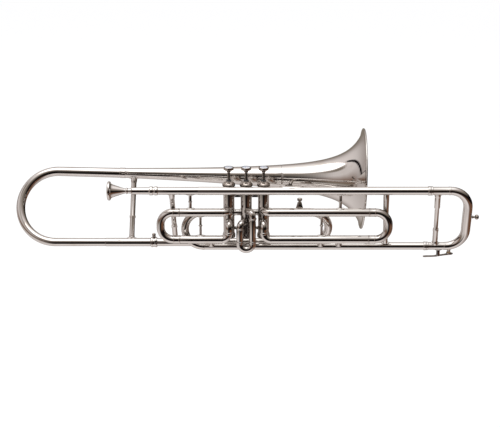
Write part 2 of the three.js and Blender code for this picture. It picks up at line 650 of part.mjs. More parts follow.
// The bell's axis leans towards the lower leg, in the plane that holds both.
{
  const reach = BELL_RIM.x - BOW_START_X;
  legDrop.set(0, BRANCH.y - BELL_RIM.y, BRANCH.z - BELL_RIM.z).normalize();
  legDrop.multiplyScalar(-reach * Math.tan(BELL_SLOPE)).add(BELL_RIM).setX(0);
  legDrop.set(0, BRANCH.y - legDrop.y, BRANCH.z - legDrop.z).normalize();
  bellAxis.copy(X).multiplyScalar(Math.cos(BELL_SLOPE)).addScaledVector(legDrop, Math.sin(BELL_SLOPE));
  bowStart.copy(BELL_RIM).addScaledVector(bellAxis, -reach / Math.cos(BELL_SLOPE));
}
const onBellAxis = (fromRim) => BELL_RIM.clone().addScaledVector(bellAxis, -fromRim);

// Outer radius of the bell at a distance back from its rim.
function bellRadius(fromRim) {
  const flare = BELL_RADIUS * (23 / (fromRim + 23)) ** 0.7;
  return flare - 0.0075 * Math.max(0, fromRim - BELL_JOIN);
}

function bellShell(from, to, count, power, offset = 0, wall = BELL_WALL) {
  const outside = [];
  for (let i = 0; i <= count; i++) {
    const fromRim = from + (to - from) * (i / count) ** power;
    outside.push([-fromRim, bellRadius(fromRim) + offset]);
  }
  return { outside, inside: outside.map(([along, radius]) => [along, radius - wall]).reverse() };
}

function bellFlare() {
  const { outside, inside } = bellShell(0, BELL_JOIN, 10, 2);
  const rim = [[0, BELL_RADIUS - BELL_WALL - 0.2], [1.6, BELL_RADIUS - 0.6], [1.2, BELL_RADIUS + 0.9],
    [-0.8, BELL_RADIUS + 1.1], [-2.2, BELL_RADIUS + 0.2]];
  const profile = [...outside.slice(1).reverse(), ...rim.reverse(), ...inside.slice(0, -1).reverse()];
  return turned([...profile, profile[0]], BELL_RIM, bellAxis, BELL_SIDES);
}

function bellTail() {
  const { outside, inside } = bellShell(BELL_JOIN + GAP, BELL_LENGTH, 6, 1);
  return turned([...outside, ...inside, outside[0]].reverse(), BELL_RIM, bellAxis, ROUND);
}

// The bow takes the tube from the bell's tail, half a turn round, to the lower leg.
function bellBow() {
  const tailRadius = bellRadius(BELL_LENGTH);
  const start = onBellAxis(BELL_LENGTH + GAP);
  const half = bowStart.clone().sub(centre(BRANCH, bowStart.x)).length() / 2;
  const route = new Route(start, back(bellAxis)).straight(start.distanceTo(bowStart));
  route.bend(half, legDrop, Math.PI + BELL_SLOPE);
  route.straight(BELL_LEG_X - GAP - route.end.x);
  const shrink = (share) => THREE.MathUtils.lerp(1, BOW_LEG_RADIUS / tailRadius, Math.min(1, share * 1.1));
  const ferrule = collar(start, back(bellAxis), 8, tailRadius + 0.5, tailRadius - 0.4);
  return join(solid(taperedPipe(route, tailRadius, tailRadius - WALL, shrink)), solid(ferrule));
}

function bellLeg() {
  const end = LOCK_SEAM_X - GAP;
  const tenon = BRANCH.radius - WALL - SLIP;
  const sleeve = straightPipe(BRANCH, BELL_LEG_X, end, BELL_LEG_RADIUS, tenon - 0.3);
  return join(solid(sleeve), solid(straightPipe(BRANCH, end - 1, end + TENON, tenon)));
}

function bellLegBrace() {
  const fromRim = (BELL_RIM.x - BELL_LEG_BRACE_X) / Math.cos(BELL_SLOPE);
  const top = onBellAxis(fromRim);
  const radius = bellRadius(fromRim - 20);
  const bell = solid(rod(onBellAxis(BELL_LENGTH), bellAxis, 60, radius + GAP));
  return strut(top, centre(BRANCH, BELL_LEG_BRACE_LOW_X), ringed(4.5, 0.7),
    [{ reach: radius + FOOT, spread: 6 }, { reach: BELL_LEG_RADIUS + FOOT, spread: 6 }],
    [bell, tubeCutter(BRANCH, BELL_LEG_RADIUS)]);
}

// The stay from the upper tube back to the bell, with a long oval foot over the tube's top.
function bellStay() {
  const fromRim = (BELL_RIM.x - BELL_STAY_X) / Math.cos(BELL_SLOPE);
  const onLead = centre(LEAD, BELL_STAY_X);
  const onBell = onBellAxis(fromRim);
  onBell.z -= STAY_DROP;
  const surface = Math.sqrt(bellRadius(fromRim) ** 2 - STAY_DROP ** 2);
  const { outside } = bellShell(50, 200, 8, 1, GAP);
  const bell = solid(turned([[-200, 0], ...outside.reverse(), [-50, 0]], BELL_RIM, bellAxis, BELL_SIDES));
  const oval = rod(at(0, 0, 0), Z, 12, 1, ROUND);
  oval.scale(STAY_FOOT_LENGTH / 2, STAY_FOOT_WIDTH / 2, 1);
  oval.rotateX(-STAY_FOOT_LEAN);
  oval.translate(onLead.x, onLead.y, onLead.z);
  const over = rod(centre(LEAD, BELL_STAY_X - 25), X, 50, LEAD.radius + FOOT);
  const bar = strut(onLead, onBell, ringed(3.2, 0.5), [{ reach: LEAD.radius + FOOT, spread: 5.2 },
    { reach: surface + FOOT, spread: 6 }], [bell]);
  return join(bar, solid(over).intersect(solid(oval))).subtract(tubeCutter(LEAD));
}

addPart('bell_flare', bellFlare());
addPart('bell_tail', bellTail());
addPart('bell_bow', bellBow());
addPart('bell_leg', bellLeg());
addPart('bell_leg_brace', bellLegBrace());
addPart('bell_stay', bellStay());

// ---------------------------------------------------------------- lock and lyre holder
function lockCollar() {
  const bore = BRANCH.radius + GAP;
  const ring = solid(collar(centre(BRANCH, LOCK_X - 5.5), X, 11, bore + 1.6, bore));
  const boss = solid(rod(at(LOCK_X, BRANCH.y, BRANCH.z + BRANCH.radius + 0.8), Z, 3, 3.4));
  const lug = new THREE.BoxGeometry(4, 5, 5);
  lug.translate(LOCK_X + 3.6, BRANCH.y - 8.2, BRANCH.z + 5);
  const screwHole = solid(rod(at(LOCK_X, BRANCH.y, BRANCH.z), Z, 20, 1.5 + GAP));
  return join(ring, boss, solid(lug)).subtract(screwHole).subtract(tubeCutter(BRANCH));
}

const lockScrew = () => turned([
  [0, 0], [0, 1.5], [3.6, 1.5], [4.2, 2.6], [5.6, 3.5], [8, 3.5], [9.4, 2.4], [9.8, 0],
], at(LOCK_X, BRANCH.y, BRANCH.z + BRANCH.radius + GAP), Z);

const LYRE_X = 95.4;
const LYRE_BASE_Z = PORT_Z + BRANCH.radius + GAP;
const LYRE_TOP_Z = 12.6;
const LYRE_SOCKET = 5;
const LYRE_SOCKET_Z = LYRE_BASE_Z + 4.6;

// A tapering block on the third valve's outlet; a square socket runs through it along the horn.
function lyreBox() {
  const height = LYRE_TOP_Z - LYRE_BASE_Z + 3;
  const block = turned([[-3, 0], [-3, 9.4], [height - 3, 4.6], [height - 3, 0]],
    at(LYRE_X, 0, LYRE_BASE_Z), Z, 4);
  const turn = new THREE.Matrix4().makeRotationZ(Math.PI / 4);
  block.translate(-LYRE_X, 0, 0).applyMatrix4(turn).translate(LYRE_X, 0, 0);
  const socket = new THREE.BoxGeometry(30, LYRE_SOCKET, LYRE_SOCKET);
  socket.translate(LYRE_X, 0, LYRE_SOCKET_Z);
  const screwHole = solid(rod(at(LYRE_X, 0, LYRE_SOCKET_Z), Z, 20, 1.4 + GAP));
  const pipeCutter = solid(rod(at(0, 0, PORT_Z), X, 200, BRANCH.radius + GAP));
  return solid(block).subtract(solid(socket)).subtract(screwHole).subtract(pipeCutter);
}

const lyreScrew = () => turned([
  [-3.9, 0], [-3.9, 1.4], [0.6, 1.4], [1.2, 2], [2.2, 2], [2.8, 3.6], [3.8, 4.6], [6, 4.6],
  [7.2, 3.4], [7.4, 0],
], at(LYRE_X, 0, LYRE_TOP_Z), Z);

addPart('lock_collar', lockCollar());
addPart('lock_screw', lockScrew());
addPart('lyre_box', lyreBox());
addPart('lyre_screw', lyreScrew());

export default group;
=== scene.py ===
"""A nickel-plated tenor valve trombone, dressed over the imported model.

Lengths in this script are millimetres until mesh_piece turns them into the frame's metres.
+X points out of the bell, +Y from the player's hand towards the bell side, +Z up along the valves.
"""
import math

import bmesh
import bpy
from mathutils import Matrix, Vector


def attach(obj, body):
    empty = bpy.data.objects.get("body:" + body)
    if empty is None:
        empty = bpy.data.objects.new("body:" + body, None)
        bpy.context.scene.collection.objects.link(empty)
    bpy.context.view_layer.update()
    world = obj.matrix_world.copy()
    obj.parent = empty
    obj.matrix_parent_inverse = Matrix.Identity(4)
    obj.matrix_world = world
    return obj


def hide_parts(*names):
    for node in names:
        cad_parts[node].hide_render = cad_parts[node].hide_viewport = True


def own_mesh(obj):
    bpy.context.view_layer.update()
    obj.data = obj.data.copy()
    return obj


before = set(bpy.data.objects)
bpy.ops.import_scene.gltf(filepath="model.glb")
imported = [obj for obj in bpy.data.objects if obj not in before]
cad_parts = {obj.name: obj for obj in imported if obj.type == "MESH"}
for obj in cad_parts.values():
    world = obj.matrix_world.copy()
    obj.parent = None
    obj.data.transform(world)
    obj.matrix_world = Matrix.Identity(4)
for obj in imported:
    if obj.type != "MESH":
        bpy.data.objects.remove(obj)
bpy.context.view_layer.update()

MM = 0.001

# ---------------------------------------------------------------- driving dimensions
WALL = 0.6
GAP = 0.3
SLIDE_FIT = WALL + 0.45       # from an outer tube's skin in to the leg that slides in it

VALVE_PITCH = 30.9
VALVES = (1, 2, 3)
CASING_RADIUS = 9.9
CASING_TOP = 46.7
CASING_BOTTOM = -49.4
CAP_FLOOR = -51.3
BUTTON_TOP = 78.0
STEM_RADIUS = 2.6
PORT_Z = -6.4
LOWER_PORT_Z = -21.5


class Tube:
    """A straight tube along X: depth, height and outer radius."""

    def __init__(self, y, z, radius):
        self.y = y
        self.z = z
        self.radius = radius

    def at(self, x):
        return Vector((x, self.y, self.z))


LEAD = Tube(-19, 39.6, 7.2)
RETURN = Tube(2, -71.6, 6.8)
BRANCH = Tube(20, -71, 7.35)
SIDE_UPPER = Tube(-20, -0.2, 7.35)
SIDE_LOWER = Tube(-20, -51.1, 7.35)

MOUTHPIECE_RIM_X = -244
RECEIVER_START = -202.6
RECEIVER_END = -155
LEAD_STEP_X = -84
LEADPIPE_RADIUS = 6.8

TUNING_RING_X = 322.6
TUNING_SEAM_X = 360
TUNING_DEPTH = 33.4
TUNING_SWELL = 1.15
RETURN_BEND_X = -77.4
BRANCH_BEND_X = 114.3

SLIDE_1_SEAM_X = -117.6
SLIDE_1_DEPTH = 22.4
SLIDE_3_SEAM_X = 217.4
SLIDE_3_DEPTH = 23.8
ELBOW = 10.4
TURN_UP = 13
KNUCKLE_RING_Z = -38.8
FERRULE = 12
SLIDE_2_HALF = 11.2
SLIDE_2_RADIUS = 6.4
SLIDE_2_SEAM_Z = -54

BELL_RIM = Vector((214.4, 84, 30.3))
BELL_RADIUS = 92
BELL_SLOPE = math.radians(1.42)
BELL_JOIN = 150
BELL_LENGTH = 439
BELL_WALL = 0.9
BOW_START_X = -345.7
BOW_LEG_RADIUS = 7.3
BELL_LEG_X = -256
BELL_LEG_RADIUS = 7.65
LOCK_X = -168
LEG_BRACE_X = -209.1
BELL_STAY_X = 80
STAY_FOOT_LEAN = math.radians(30)
STAY_DROP = 16
LOCK_SEAM_X = LOCK_X - 5.7

X = Vector((1, 0, 0))
Y = Vector((0, 1, 0))
Z = Vector((0, 0, 1))


# ---------------------------------------------------------------- node helpers
def new_nodes(tree):
    tree.nodes.clear()
    return tree.nodes, tree.links


def ramp(nodes, stops):
    """A ColorRamp with the given (position, colour) stops."""
    node = nodes.new("ShaderNodeValToRGB")
    elements = node.color_ramp.elements
    while len(elements) > 1:
        elements.remove(elements[0])
    elements[0].position = stops[0][0]
    elements[0].color = (*stops[0][1], 1)
    for position, colour in stops[1:]:
        elements.new(position).color = (*colour, 1)
    return node


def map_range(nodes, links, source, from_min, from_max, to_min=0.0, to_max=1.0, smooth=True):
    node = nodes.new("ShaderNodeMapRange")
    node.interpolation_type = "SMOOTHSTEP" if smooth else "LINEAR"
    node.inputs["From Min"].default_value = from_min
    node.inputs["From Max"].default_value = from_max
    node.inputs["To Min"].default_value = to_min
    node.inputs["To Max"].default_value = to_max
    links.new(source, node.inputs["Value"])
    return node.outputs["Result"]


def mix_colour(nodes, links, factor, first, second):
    node = nodes.new("ShaderNodeMix")
    node.data_type = "RGBA"
    for source, socket in ((factor, node.inputs[0]), (first, node.inputs[6]), (second, node.inputs[7])):
        if hasattr(source, "links"):
            links.new(source, socket)
        elif isinstance(source, tuple):
            socket.default_value = (*source, 1)
        else:
            socket.default_value = source
    return node.outputs[2]


def noise(nodes, links, scale, detail=3.0, roughness=0.5, stretch=(1, 1, 1)):
    """Noise in the object's own metres."""
    place = nodes.new("ShaderNodeTexCoord")
    mapping = nodes.new("ShaderNodeMapping")
    mapping.inputs["Scale"].default_value = stretch
    links.new(place.outputs["Object"], mapping.inputs["Vector"])
    node = nodes.new("ShaderNodeTexNoise")
    node.inputs["Scale"].default_value = scale
    node.inputs["Detail"].default_value = detail
    node.inputs["Roughness"].default_value = roughness
    links.new(mapping.outputs["Vector"], node.inputs["Vector"])
    return node.outputs["Fac"]


# ---------------------------------------------------------------- materials
def bumped(nodes, links, height, strength, distance, below=None):
    node = nodes.new("ShaderNodeBump")
    node.inputs["Strength"].default_value = strength
    node.inputs["Distance"].default_value = distance
    links.new(height, node.inputs["Height"])
    if below is not None:
        links.new(below, node.inputs["Normal"])
    return node.outputs["Normal"]


def start_material(name, metallic=0.0, ior=1.5):
    material = bpy.data.materials.new(name)
    material.use_nodes = True
    nodes, links = new_nodes(material.node_tree)
    output = nodes.new("ShaderNodeOutputMaterial")
    shader = nodes.new("ShaderNodeBsdfPrincipled")
    shader.inputs["Metallic"].default_value = metallic
    shader.inputs["IOR"].default_value = ior
    links.new(shader.outputs["BSDF"], output.inputs["Surface"])
    return material, nodes, links, shader


def shade_openness(nodes, reach):
    """How open a spot is, for painted shade: 0 deep in a corner, 1 out in the open."""
    node = nodes.new("ShaderNodeAmbientOcclusion")
    node.samples = 6
    node.inputs["Distance"].default_value = reach
    return node.outputs["AO"]


def plated_metal(name, clean, stained, rough, wave, corner_shade=0.35):
    """Buffed plating: cloudy stains, a hazier gloss in them, painted shade darkening the corners, and slow
    waves.
    """
    material, nodes, links, shader = start_material(name, metallic=1.0)
    clouds = noise(nodes, links, 38, detail=5)
    stain = map_range(nodes, links, clouds, 0.52, 0.78)
    plating = mix_colour(nodes, links, stain, clean, stained)
    # Painted shade: the plating turns a dull dark tone wherever other parts close in round it.
    shaded_colour = tuple(channel * corner_shade for channel in stained)
    unshaded = map_range(nodes, links, shade_openness(nodes, 0.016), 0.3, 0.78)
    links.new(mix_colour(nodes, links, unshaded, shaded_colour, plating), shader.inputs["Base Color"])
    smears = noise(nodes, links, 90, detail=4, stretch=(0.25, 1, 1))
    links.new(map_range(nodes, links, smears, 0.4, 0.8, rough, rough + 0.06),
              shader.inputs["Roughness"])
    waves = noise(nodes, links, 26, detail=1.5, stretch=(0.6, 1, 1))
    hairlines = noise(nodes, links, 1400, detail=2, stretch=(0.04, 1, 1))
    rolled = bumped(nodes, links, waves, wave, 0.001)
    links.new(bumped(nodes, links, hairlines, 0.05, 0.00002, rolled), shader.inputs["Normal"])
    return material


def pearl_material():
    """Mother-of-pearl: soft bands of blue, cream and lilac under a gloss coat, with painted shade in dark
    blue over its far half.
    """
    material, nodes, links, shader = start_material("button_pearl", ior=1.55)
    bands = noise(nodes, links, 320, detail=3, stretch=(1, 0.35, 1))
    tint = ramp(nodes, [(0.3, (0.50, 0.60, 0.86)), (0.48, (0.80, 0.84, 0.93)),
                        (0.6, (0.93, 0.90, 0.88)), (0.75, (0.70, 0.68, 0.88))])
    links.new(bands, tint.inputs["Fac"])
    place = nodes.new("ShaderNodeTexCoord")
    across = nodes.new("ShaderNodeSeparateXYZ")
    links.new(place.outputs["Object"], across.inputs["Vector"])
    # Painted shade: the half of the pearl towards +Y turns dark blue.
    shaded_far_side = map_range(nodes, links, across.outputs["Y"], -0.001, 0.0065)
    links.new(mix_colour(nodes, links, shaded_far_side, tint.outputs["Color"], (0.16, 0.21, 0.36)),
              shader.inputs["Base Color"])
    links.new(map_range(nodes, links, bands, 0.3, 0.7, 0.16, 0.3), shader.inputs["Roughness"])
    links.new(bumped(nodes, links, bands, 0.12, 0.0001), shader.inputs["Normal"])
    shader.inputs["Coat Weight"].default_value = 0.6
    shader.inputs["Coat Roughness"].default_value = 0.06
    return material


def cork_material():
    material, nodes, links, shader = start_material("cork_grain")
    grain = noise(nodes, links, 900, detail=6, roughness=0.7)
    tint = ramp(nodes, [(0.35, (0.16, 0.08, 0.035)), (0.5, (0.46, 0.29, 0.14)), (0.7, (0.62, 0.43, 0.24))])
    links.new(grain, tint.inputs["Fac"])
    links.new(tint.outputs["Color"], shader.inputs["Base Color"])
    links.new(map_range(nodes, links, grain, 0.3, 0.7, 0.95, 0.75), shader.inputs["Roughness"])
    links.new(bumped(nodes, links, grain, 0.5, 0.0002), shader.inputs["Normal"])
    return material


def felt_material():
    material, nodes, links, shader = start_material("black_felt")
    fibres = noise(nodes, links, 2600, detail=5, roughness=0.8)
    tint = ramp(nodes, [(0.3, (0.008, 0.008, 0.010)), (0.7, (0.045, 0.042, 0.045))])
    links.new(fibres, tint.inputs["Fac"])
    links.new(tint.outputs["Color"], shader.inputs["Base Color"])
    links.new(map_range(nodes, links, fibres, 0.3, 0.7, 1.0, 0.85), shader.inputs["Roughness"])
    links.new(bumped(nodes, links, fibres, 0.6, 0.0002), shader.inputs["Normal"])
    shader.inputs["Sheen Weight"].default_value = 0.3
    return material


NICKEL = plated_metal("nickel_plate", (0.84, 0.815, 0.79), (0.76, 0.71, 0.66), 0.012, 0.05)
# A darker copy of the nickel plating: painted shade on the top caps, buttons, thumbscrews, lyre block, tuning
# knob and water key.
SHADED_NICKEL = plated_metal("shaded_nickel", (0.50, 0.45, 0.41), (0.28, 0.23, 0.19), 0.05, 0.05)
STEEL = plated_metal("drawn_steel", (0.46, 0.44, 0.42), (0.32, 0.29, 0.27), 0.18, 0.05)
PEARL = pearl_material()
CORK = cork_material()
FELT = felt_material()


# ---------------------------------------------------------------- mesh helpers
def skin(rings, looped):
    """Vertices and faces through rings of equal size; a ring of one point is a pole."""
    vertices = []
    starts = []
    for ring in rings:
        starts.append(len(vertices))
        vertices.extend(ring)
    pairs = list(zip(range(len(rings) - 1), range(1, len(rings))))
    if looped:
        pairs.append((len(rings) - 1, 0))
    faces = []
    for a, b in pairs:
        count = max(len(rings[a]), len(rings[b]))
        for i in range(count):
            j = (i + 1) % count
            corners = []
            for start, ring, steps in ((starts[a], rings[a], (i, j)), (starts[b], rings[b], (j, i))):
                corners += [start] if len(ring) == 1 else [start + k for k in steps]
            faces.append(corners)
    return vertices, faces


def mesh_piece(name, shape, body, nodes=(), material=NICKEL, sharp=40):
    """A closed smooth-shaded mesh that rides on a body and stands for CAD nodes."""
    vertices, faces = shape
    mesh = bpy.data.meshes.new(name)
    mesh.from_pydata([Vector(v) * MM for v in vertices], [], faces)
    edit = bmesh.new()
    edit.from_mesh(mesh)
    bmesh.ops.recalc_face_normals(edit, faces=edit.faces)
    edit.to_mesh(mesh)
    edit.free()
    mesh.shade_smooth()
    mesh.set_sharp_from_angle(angle=math.radians(sharp))
    mesh.materials.append(material)
    piece = bpy.data.objects.new(name, mesh)
    bpy.context.scene.collection.objects.link(piece)
    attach(piece, body)
    if nodes:
        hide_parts(*nodes)
    return piece


def across(axis, hint=None):
    """Two unit vectors square to the axis; the first leans towards the hint."""
    axis = axis.normalized()
    lean = hint if hint is not None else (Z if abs(axis.z) < 0.9 else X)
    first = (lean - axis * lean.dot(axis)).normalized()
    return first, axis.cross(first)


def circle(centre, first, second, radius, count):
    return [centre + (first * math.cos(t) + second * math.sin(t)) * radius
            for t in (2 * math.pi * i / count for i in range(count))]


def rounded(profile, radius, steps=3):
    """The profile with each corner turned into a short arc."""
    softened = [profile[0]]
    for before, corner, after in zip(profile, profile[1:], profile[2:]):
        point = Vector(corner[:2])
        back = Vector(before[:2]) - point
        ahead = Vector(after[:2]) - point
        reach = min(radius, back.length * 0.45, ahead.length * 0.45)
        if reach < 1e-3 or corner[1] == 0:
            softened.append(corner)
            continue
        start = point + back.normalized() * reach
        end = point + ahead.normalized() * reach
        for i in range(steps + 1):
            t = i / steps
            mixed = start * (1 - t) ** 2 + point * 2 * t * (1 - t) + end * t ** 2
            softened.append((mixed.x, mixed.y, *corner[2:]))
    softened.append(profile[-1])
    return softened


def turned(profile, origin, axis, count=64, soft=0.25, flutes=0):
    """A lathe shape. Profile points are (along, radius), or (along, radius, depth) where flutes cut in."""
    axis = Vector(axis).normalized()
    origin = Vector(origin)
    first, second = across(axis)
    closed = profile[0][1] > 0
    outline = [*profile, profile[0], profile[1]] if closed else profile
    outline = rounded(outline, soft)
    if closed:
        outline = outline[1:-1]
    rings = []
    for along, radius, *cut in outline:
        centre = origin + axis * along
        if radius <= 1e-6:
            rings.append([centre])
            continue
        ring = circle(centre, first, second, radius, count)
        if cut and flutes:
            for i, point in enumerate(ring):
                bite = cut[0] * (0.5 - 0.5 * math.cos(2 * math.pi * flutes * i / count))
                ring[i] = point + (centre - point).normalized() * bite
        rings.append(ring)
    return skin(rings, closed)


def band(low, high, inner, outer):
    """Profile of a plain ring or sleeve."""
    return [(low, inner), (low, outer), (high, outer), (high, inner)]


def tube_shape(tube, outline, bore, count=48, soft=0.2):
    """A straight tube along X, outline in (x, outer radius), with a plain bore."""
    profile = [*outline, (outline[-1][0], bore), (outline[0][0], bore)]
    return turned(profile, (0, tube.y, tube.z), X, count, soft)


class Route:
    """A pipe's centre line: straight runs and bends, as (point, heading) stations."""

    def __init__(self, start, heading):
        self.stations = [(Vector(start), Vector(heading).normalized())]

    @property
    def end(self):
        return self.stations[-1][0]

    def straight(self, length):
        point, heading = self.stations[-1]
        self.stations.append((point + heading * length, heading))
        return self

    def bend(self, radius, toward, degrees=90.0, step=4.5):
        point, heading = self.stations[-1]
        toward = Vector(toward)
        side = (toward - heading * toward.dot(heading)).normalized()
        count = max(4, round(degrees / step))
        for i in range(1, count + 1):
            angle = math.radians(degrees) * i / count
            self.stations.append((
                point + heading * radius * math.sin(angle) + side * radius * (1 - math.cos(angle)),
                heading * math.cos(angle) + side * math.sin(angle)))
        return self


def helix(centre, axis, radius, rise, turns):
    """A route round an axis, rising along it."""
    axis = Vector(axis)
    first, second = across(axis)
    route = Route(centre, second)
    route.stations = []
    steps = round(turns * 24)
    climb = axis * rise / (2 * math.pi * turns)
    for i in range(steps + 1):
        angle = 2 * math.pi * turns * i / steps
        out = first * math.cos(angle) + second * math.sin(angle)
        along = second * math.cos(angle) - first * math.sin(angle)
        route.stations.append((centre + out * radius + climb * angle, (along * radius + climb).normalized()))
    return route


def shares(route):
    """How far along the route each station lies, from 0 to 1."""
    run = [0.0]
    for (a, _), (b, _) in zip(route.stations, route.stations[1:]):
        run.append(run[-1] + (b - a).length)
    return [value / run[-1] for value in run]


def pipe(route, outer, inner=None, count=48, scale=None):
    """A pipe along a route; scale maps the share of the route to a factor on both radii."""
    inner = outer - WALL if inner is None else inner
    first, _ = across(route.stations[0][1])
    sections = []
    for (point, heading), share in zip(route.stations, shares(route)):
        first = (first - heading * first.dot(heading)).normalized()
        factor = scale(share) if scale else 1.0
        sections.append((point, first.copy(), heading.cross(first), factor))
    outside = [circle(p, a, b, outer * k, count) for p, a, b, k in sections]
    inside = [circle(p, a, b, inner * k, count) for p, a, b, k in reversed(sections)]
    return skin(outside + inside, True)


def solid_pipe(route, radius, count=16, taper=None):
    """A wire along a route, closed at both ends."""
    first, _ = across(route.stations[0][1])
    rings = [[route.stations[0][0]]]
    for (point, heading), share in zip(route.stations, shares(route)):
        first = (first - heading * first.dot(heading)).normalized()
        size = radius * (taper(share) if taper else 1.0)
        rings.append(circle(point, first, heading.cross(first), size, count))
    rings.append([route.stations[-1][0]])
    return skin(rings, False)


def saddle(origin, axis, toward, radius, half_length, half_width, thickness=1.1, pinch=1.0):
    """An oval plate bent round a tube, thinning to its edge; a pinch over 1 draws its tips out."""
    axis = Vector(axis).normalized()
    out, side = across(axis, toward)
    count = 48

    def ring(share, height):
        points = []
        for i in range(count):
            t = 2 * math.pi * i / count
            reach = half_width * share * abs(math.sin(t)) ** pinch * math.copysign(1, math.sin(t))
            angle = reach / radius
            points.append(origin + axis * half_length * share * math.cos(t)
                          + (out * math.cos(angle) + side * math.sin(angle)) * (radius + height))
        return points

    top = [ring(s, thickness * (1 - s ** 5) + 0.25) for s in (0.25, 0.5, 0.7, 0.85, 0.94, 1.0)]
    under = [ring(s, -0.2) for s in (1.0, 0.6, 0.25)]
    return skin([[origin + out * (radius + thickness + 0.25)], *top, *under,
                 [origin + out * (radius - 0.2)]], False)


def ball_profile(radius, start, count=8):
    """Part of a circle as a lathe profile, from the start angle in degrees round to the pole."""
    points = []
    for i in range(count + 1):
        angle = math.radians(start + (180 - start) * i / count)
        points.append((-radius * math.cos(angle), max(0.0, radius * math.sin(angle))))
    points[-1] = (radius, 0)
    return points


# ---------------------------------------------------------------- valves
def valve_x(valve):
    return (valve - 2) * VALVE_PITCH


def valve_casing(valve):
    bore = 8.35
    mesh_piece(f"casing_{valve}", turned([
        (CASING_BOTTOM, CASING_RADIUS), (CASING_TOP, CASING_RADIUS), (CASING_TOP, bore),
        (CASING_BOTTOM, bore),
    ], (valve_x(valve), 0, 0), Z, 72), "horn", [f"valve_casing_{valve}"])
    for name, height in (("upper", 40.2), ("lower", -45.6)):
        ring = band(height - 1.3, height + 1.3, CASING_RADIUS - 0.3, CASING_RADIUS + 0.5)
        mesh_piece(f"casing_{name}_band_{valve}", turned(ring, (valve_x(valve), 0, 0), Z, 72), "horn")


def valve_caps(valve):
    clear = CASING_RADIUS + GAP
    top = [
        (43, clear), (43, 10.6), (43.6, 11.4), (44.2, 11.5, 0.45), (47.0, 11.5, 0.45), (47.6, 11.2),
        (48.2, 10.4), (49.2, 9.6), (50.2, 8.0), (50.8, 6.0), (51.2, 5.2), (52, 4.9), (52, STEM_RADIUS + GAP),
        (47, STEM_RADIUS + GAP), (47, clear),
    ]
    mesh_piece(f"top_cap_knurled_{valve}", turned(top, (valve_x(valve), 0, 0), Z, 200, 0.3, 50),
               "horn", [f"top_cap_{valve}"], SHADED_NICKEL)
    vent = 2.0
    bottom = [
        (-46, clear), (CAP_FLOOR, clear), (CAP_FLOOR, vent), (-56.6, vent), (-56.6, 3.4), (-54.9, 4.3),
        (-54.4, 6.5), (-54.1, 9.2), (-53.2, 10.9), (-52.6, 11.3, 0.45), (-49.2, 11.5, 0.45), (-48.4, 11.4),
        (-46.6, 11.2), (-46, 10.8),
    ]
    mesh_piece(f"bottom_cap_knurled_{valve}", turned(bottom, (valve_x(valve), 0, 0), Z, 200, 0.3, 50),
               "horn", [f"bottom_cap_{valve}"])


def piston(valve):
    body = f"valve_{valve}"
    origin = (valve_x(valve), 0, 0)
    bore = 6.2
    rod_top = BUTTON_TOP - 6.9 - GAP
    mesh_piece(f"piston_shell_{valve}", turned([
        (-15.5, 0), (-15.5, bore), (-36.2, bore), (-36.2, 7.95), (26, 7.95), (26, bore), (-10, bore),
        (-10, STEM_RADIUS), (rod_top, STEM_RADIUS), (rod_top, 0),
    ], origin, Z, 64), body, [f"piston_{valve}"], STEEL)
    mesh_piece(f"stem_collar_{valve}", turned([
        (rod_top - 2.4, STEM_RADIUS - 0.2), (rod_top - 2.4, 3.5), (rod_top - 1.9, 3.9),
        (rod_top - 0.8, 3.9), (rod_top - 0.2, 3.4), (rod_top - 0.2, STEM_RADIUS - 0.2),
    ], origin, Z, 48), body, (), NICKEL)
    low = BUTTON_TOP - 6.9
    seat = 7.5
    mesh_piece(f"button_{valve}", turned([
        (low, 0), (low, 4.0), (low + 0.7, 5.2), (low + 1.5, 8.2), (low + 2.3, 9.1), (low + 4.8, 9.2),
        (BUTTON_TOP - 1, 9.1), (BUTTON_TOP - 0.3, 8.5), (BUTTON_TOP - 0.3, seat), (BUTTON_TOP - 1.9, seat),
        (BUTTON_TOP - 1.9, 0),
    ], origin, Z, 72, 0.5), body, [f"finger_button_{valve}"], SHADED_NICKEL)
    mesh_piece(f"pearl_{valve}", turned([
        (BUTTON_TOP - 1.6, 0), (BUTTON_TOP - 1.6, 7.0), (BUTTON_TOP - 0.5, 7.0), (BUTTON_TOP - 0.1, 6.2),
        (BUTTON_TOP, 5), (BUTTON_TOP, 0),
    ], origin, Z, 72, 0.4), body, [f"button_pearl_{valve}"], PEARL)
    mesh_piece(f"cap_felt_{valve}", turned([
        (52.05, STEM_RADIUS + 0.1), (52.05, 4.6), (54.0, 4.7), (54.0, STEM_RADIUS + 0.1),
    ], origin, Z, 48), "horn", (), FELT)


def valve_spring(valve):
    """The return spring, drawn at rest; the real one flattens as its valve is pressed."""
    turns = 5
    wire = 0.55
    low = CAP_FLOOR + GAP + wire
    route = helix(Vector((valve_x(valve), 0, low)), Z, 5, 34, turns)
    coil = mesh_piece(f"spring_coil_{valve}", solid_pipe(route, wire, 10), "horn",
                      [f"valve_spring_{valve}"], STEEL)
    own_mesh(coil)


def port_tube(valve):
    x0 = valve_x(valve)
    tube = Tube(0, PORT_Z, 5.6)
    mesh_piece(f"port_pipe_{valve}{valve + 1}", tube_shape(
        tube, [(x0 + 8.8, 5.6), (x0 + VALVE_PITCH - 8.8, 5.6)], 5.0), "horn",
        [f"port_tube_{valve}{valve + 1}"])
    for side, x in (("a", x0 + 9.4), ("b", x0 + VALVE_PITCH - 9.4 - 1.4)):
        mesh_piece(f"port_flange_{valve}{valve + 1}{side}", tube_shape(
            tube, [(x, 6.3), (x + 1.4, 6.3)], 5.2), "horn")


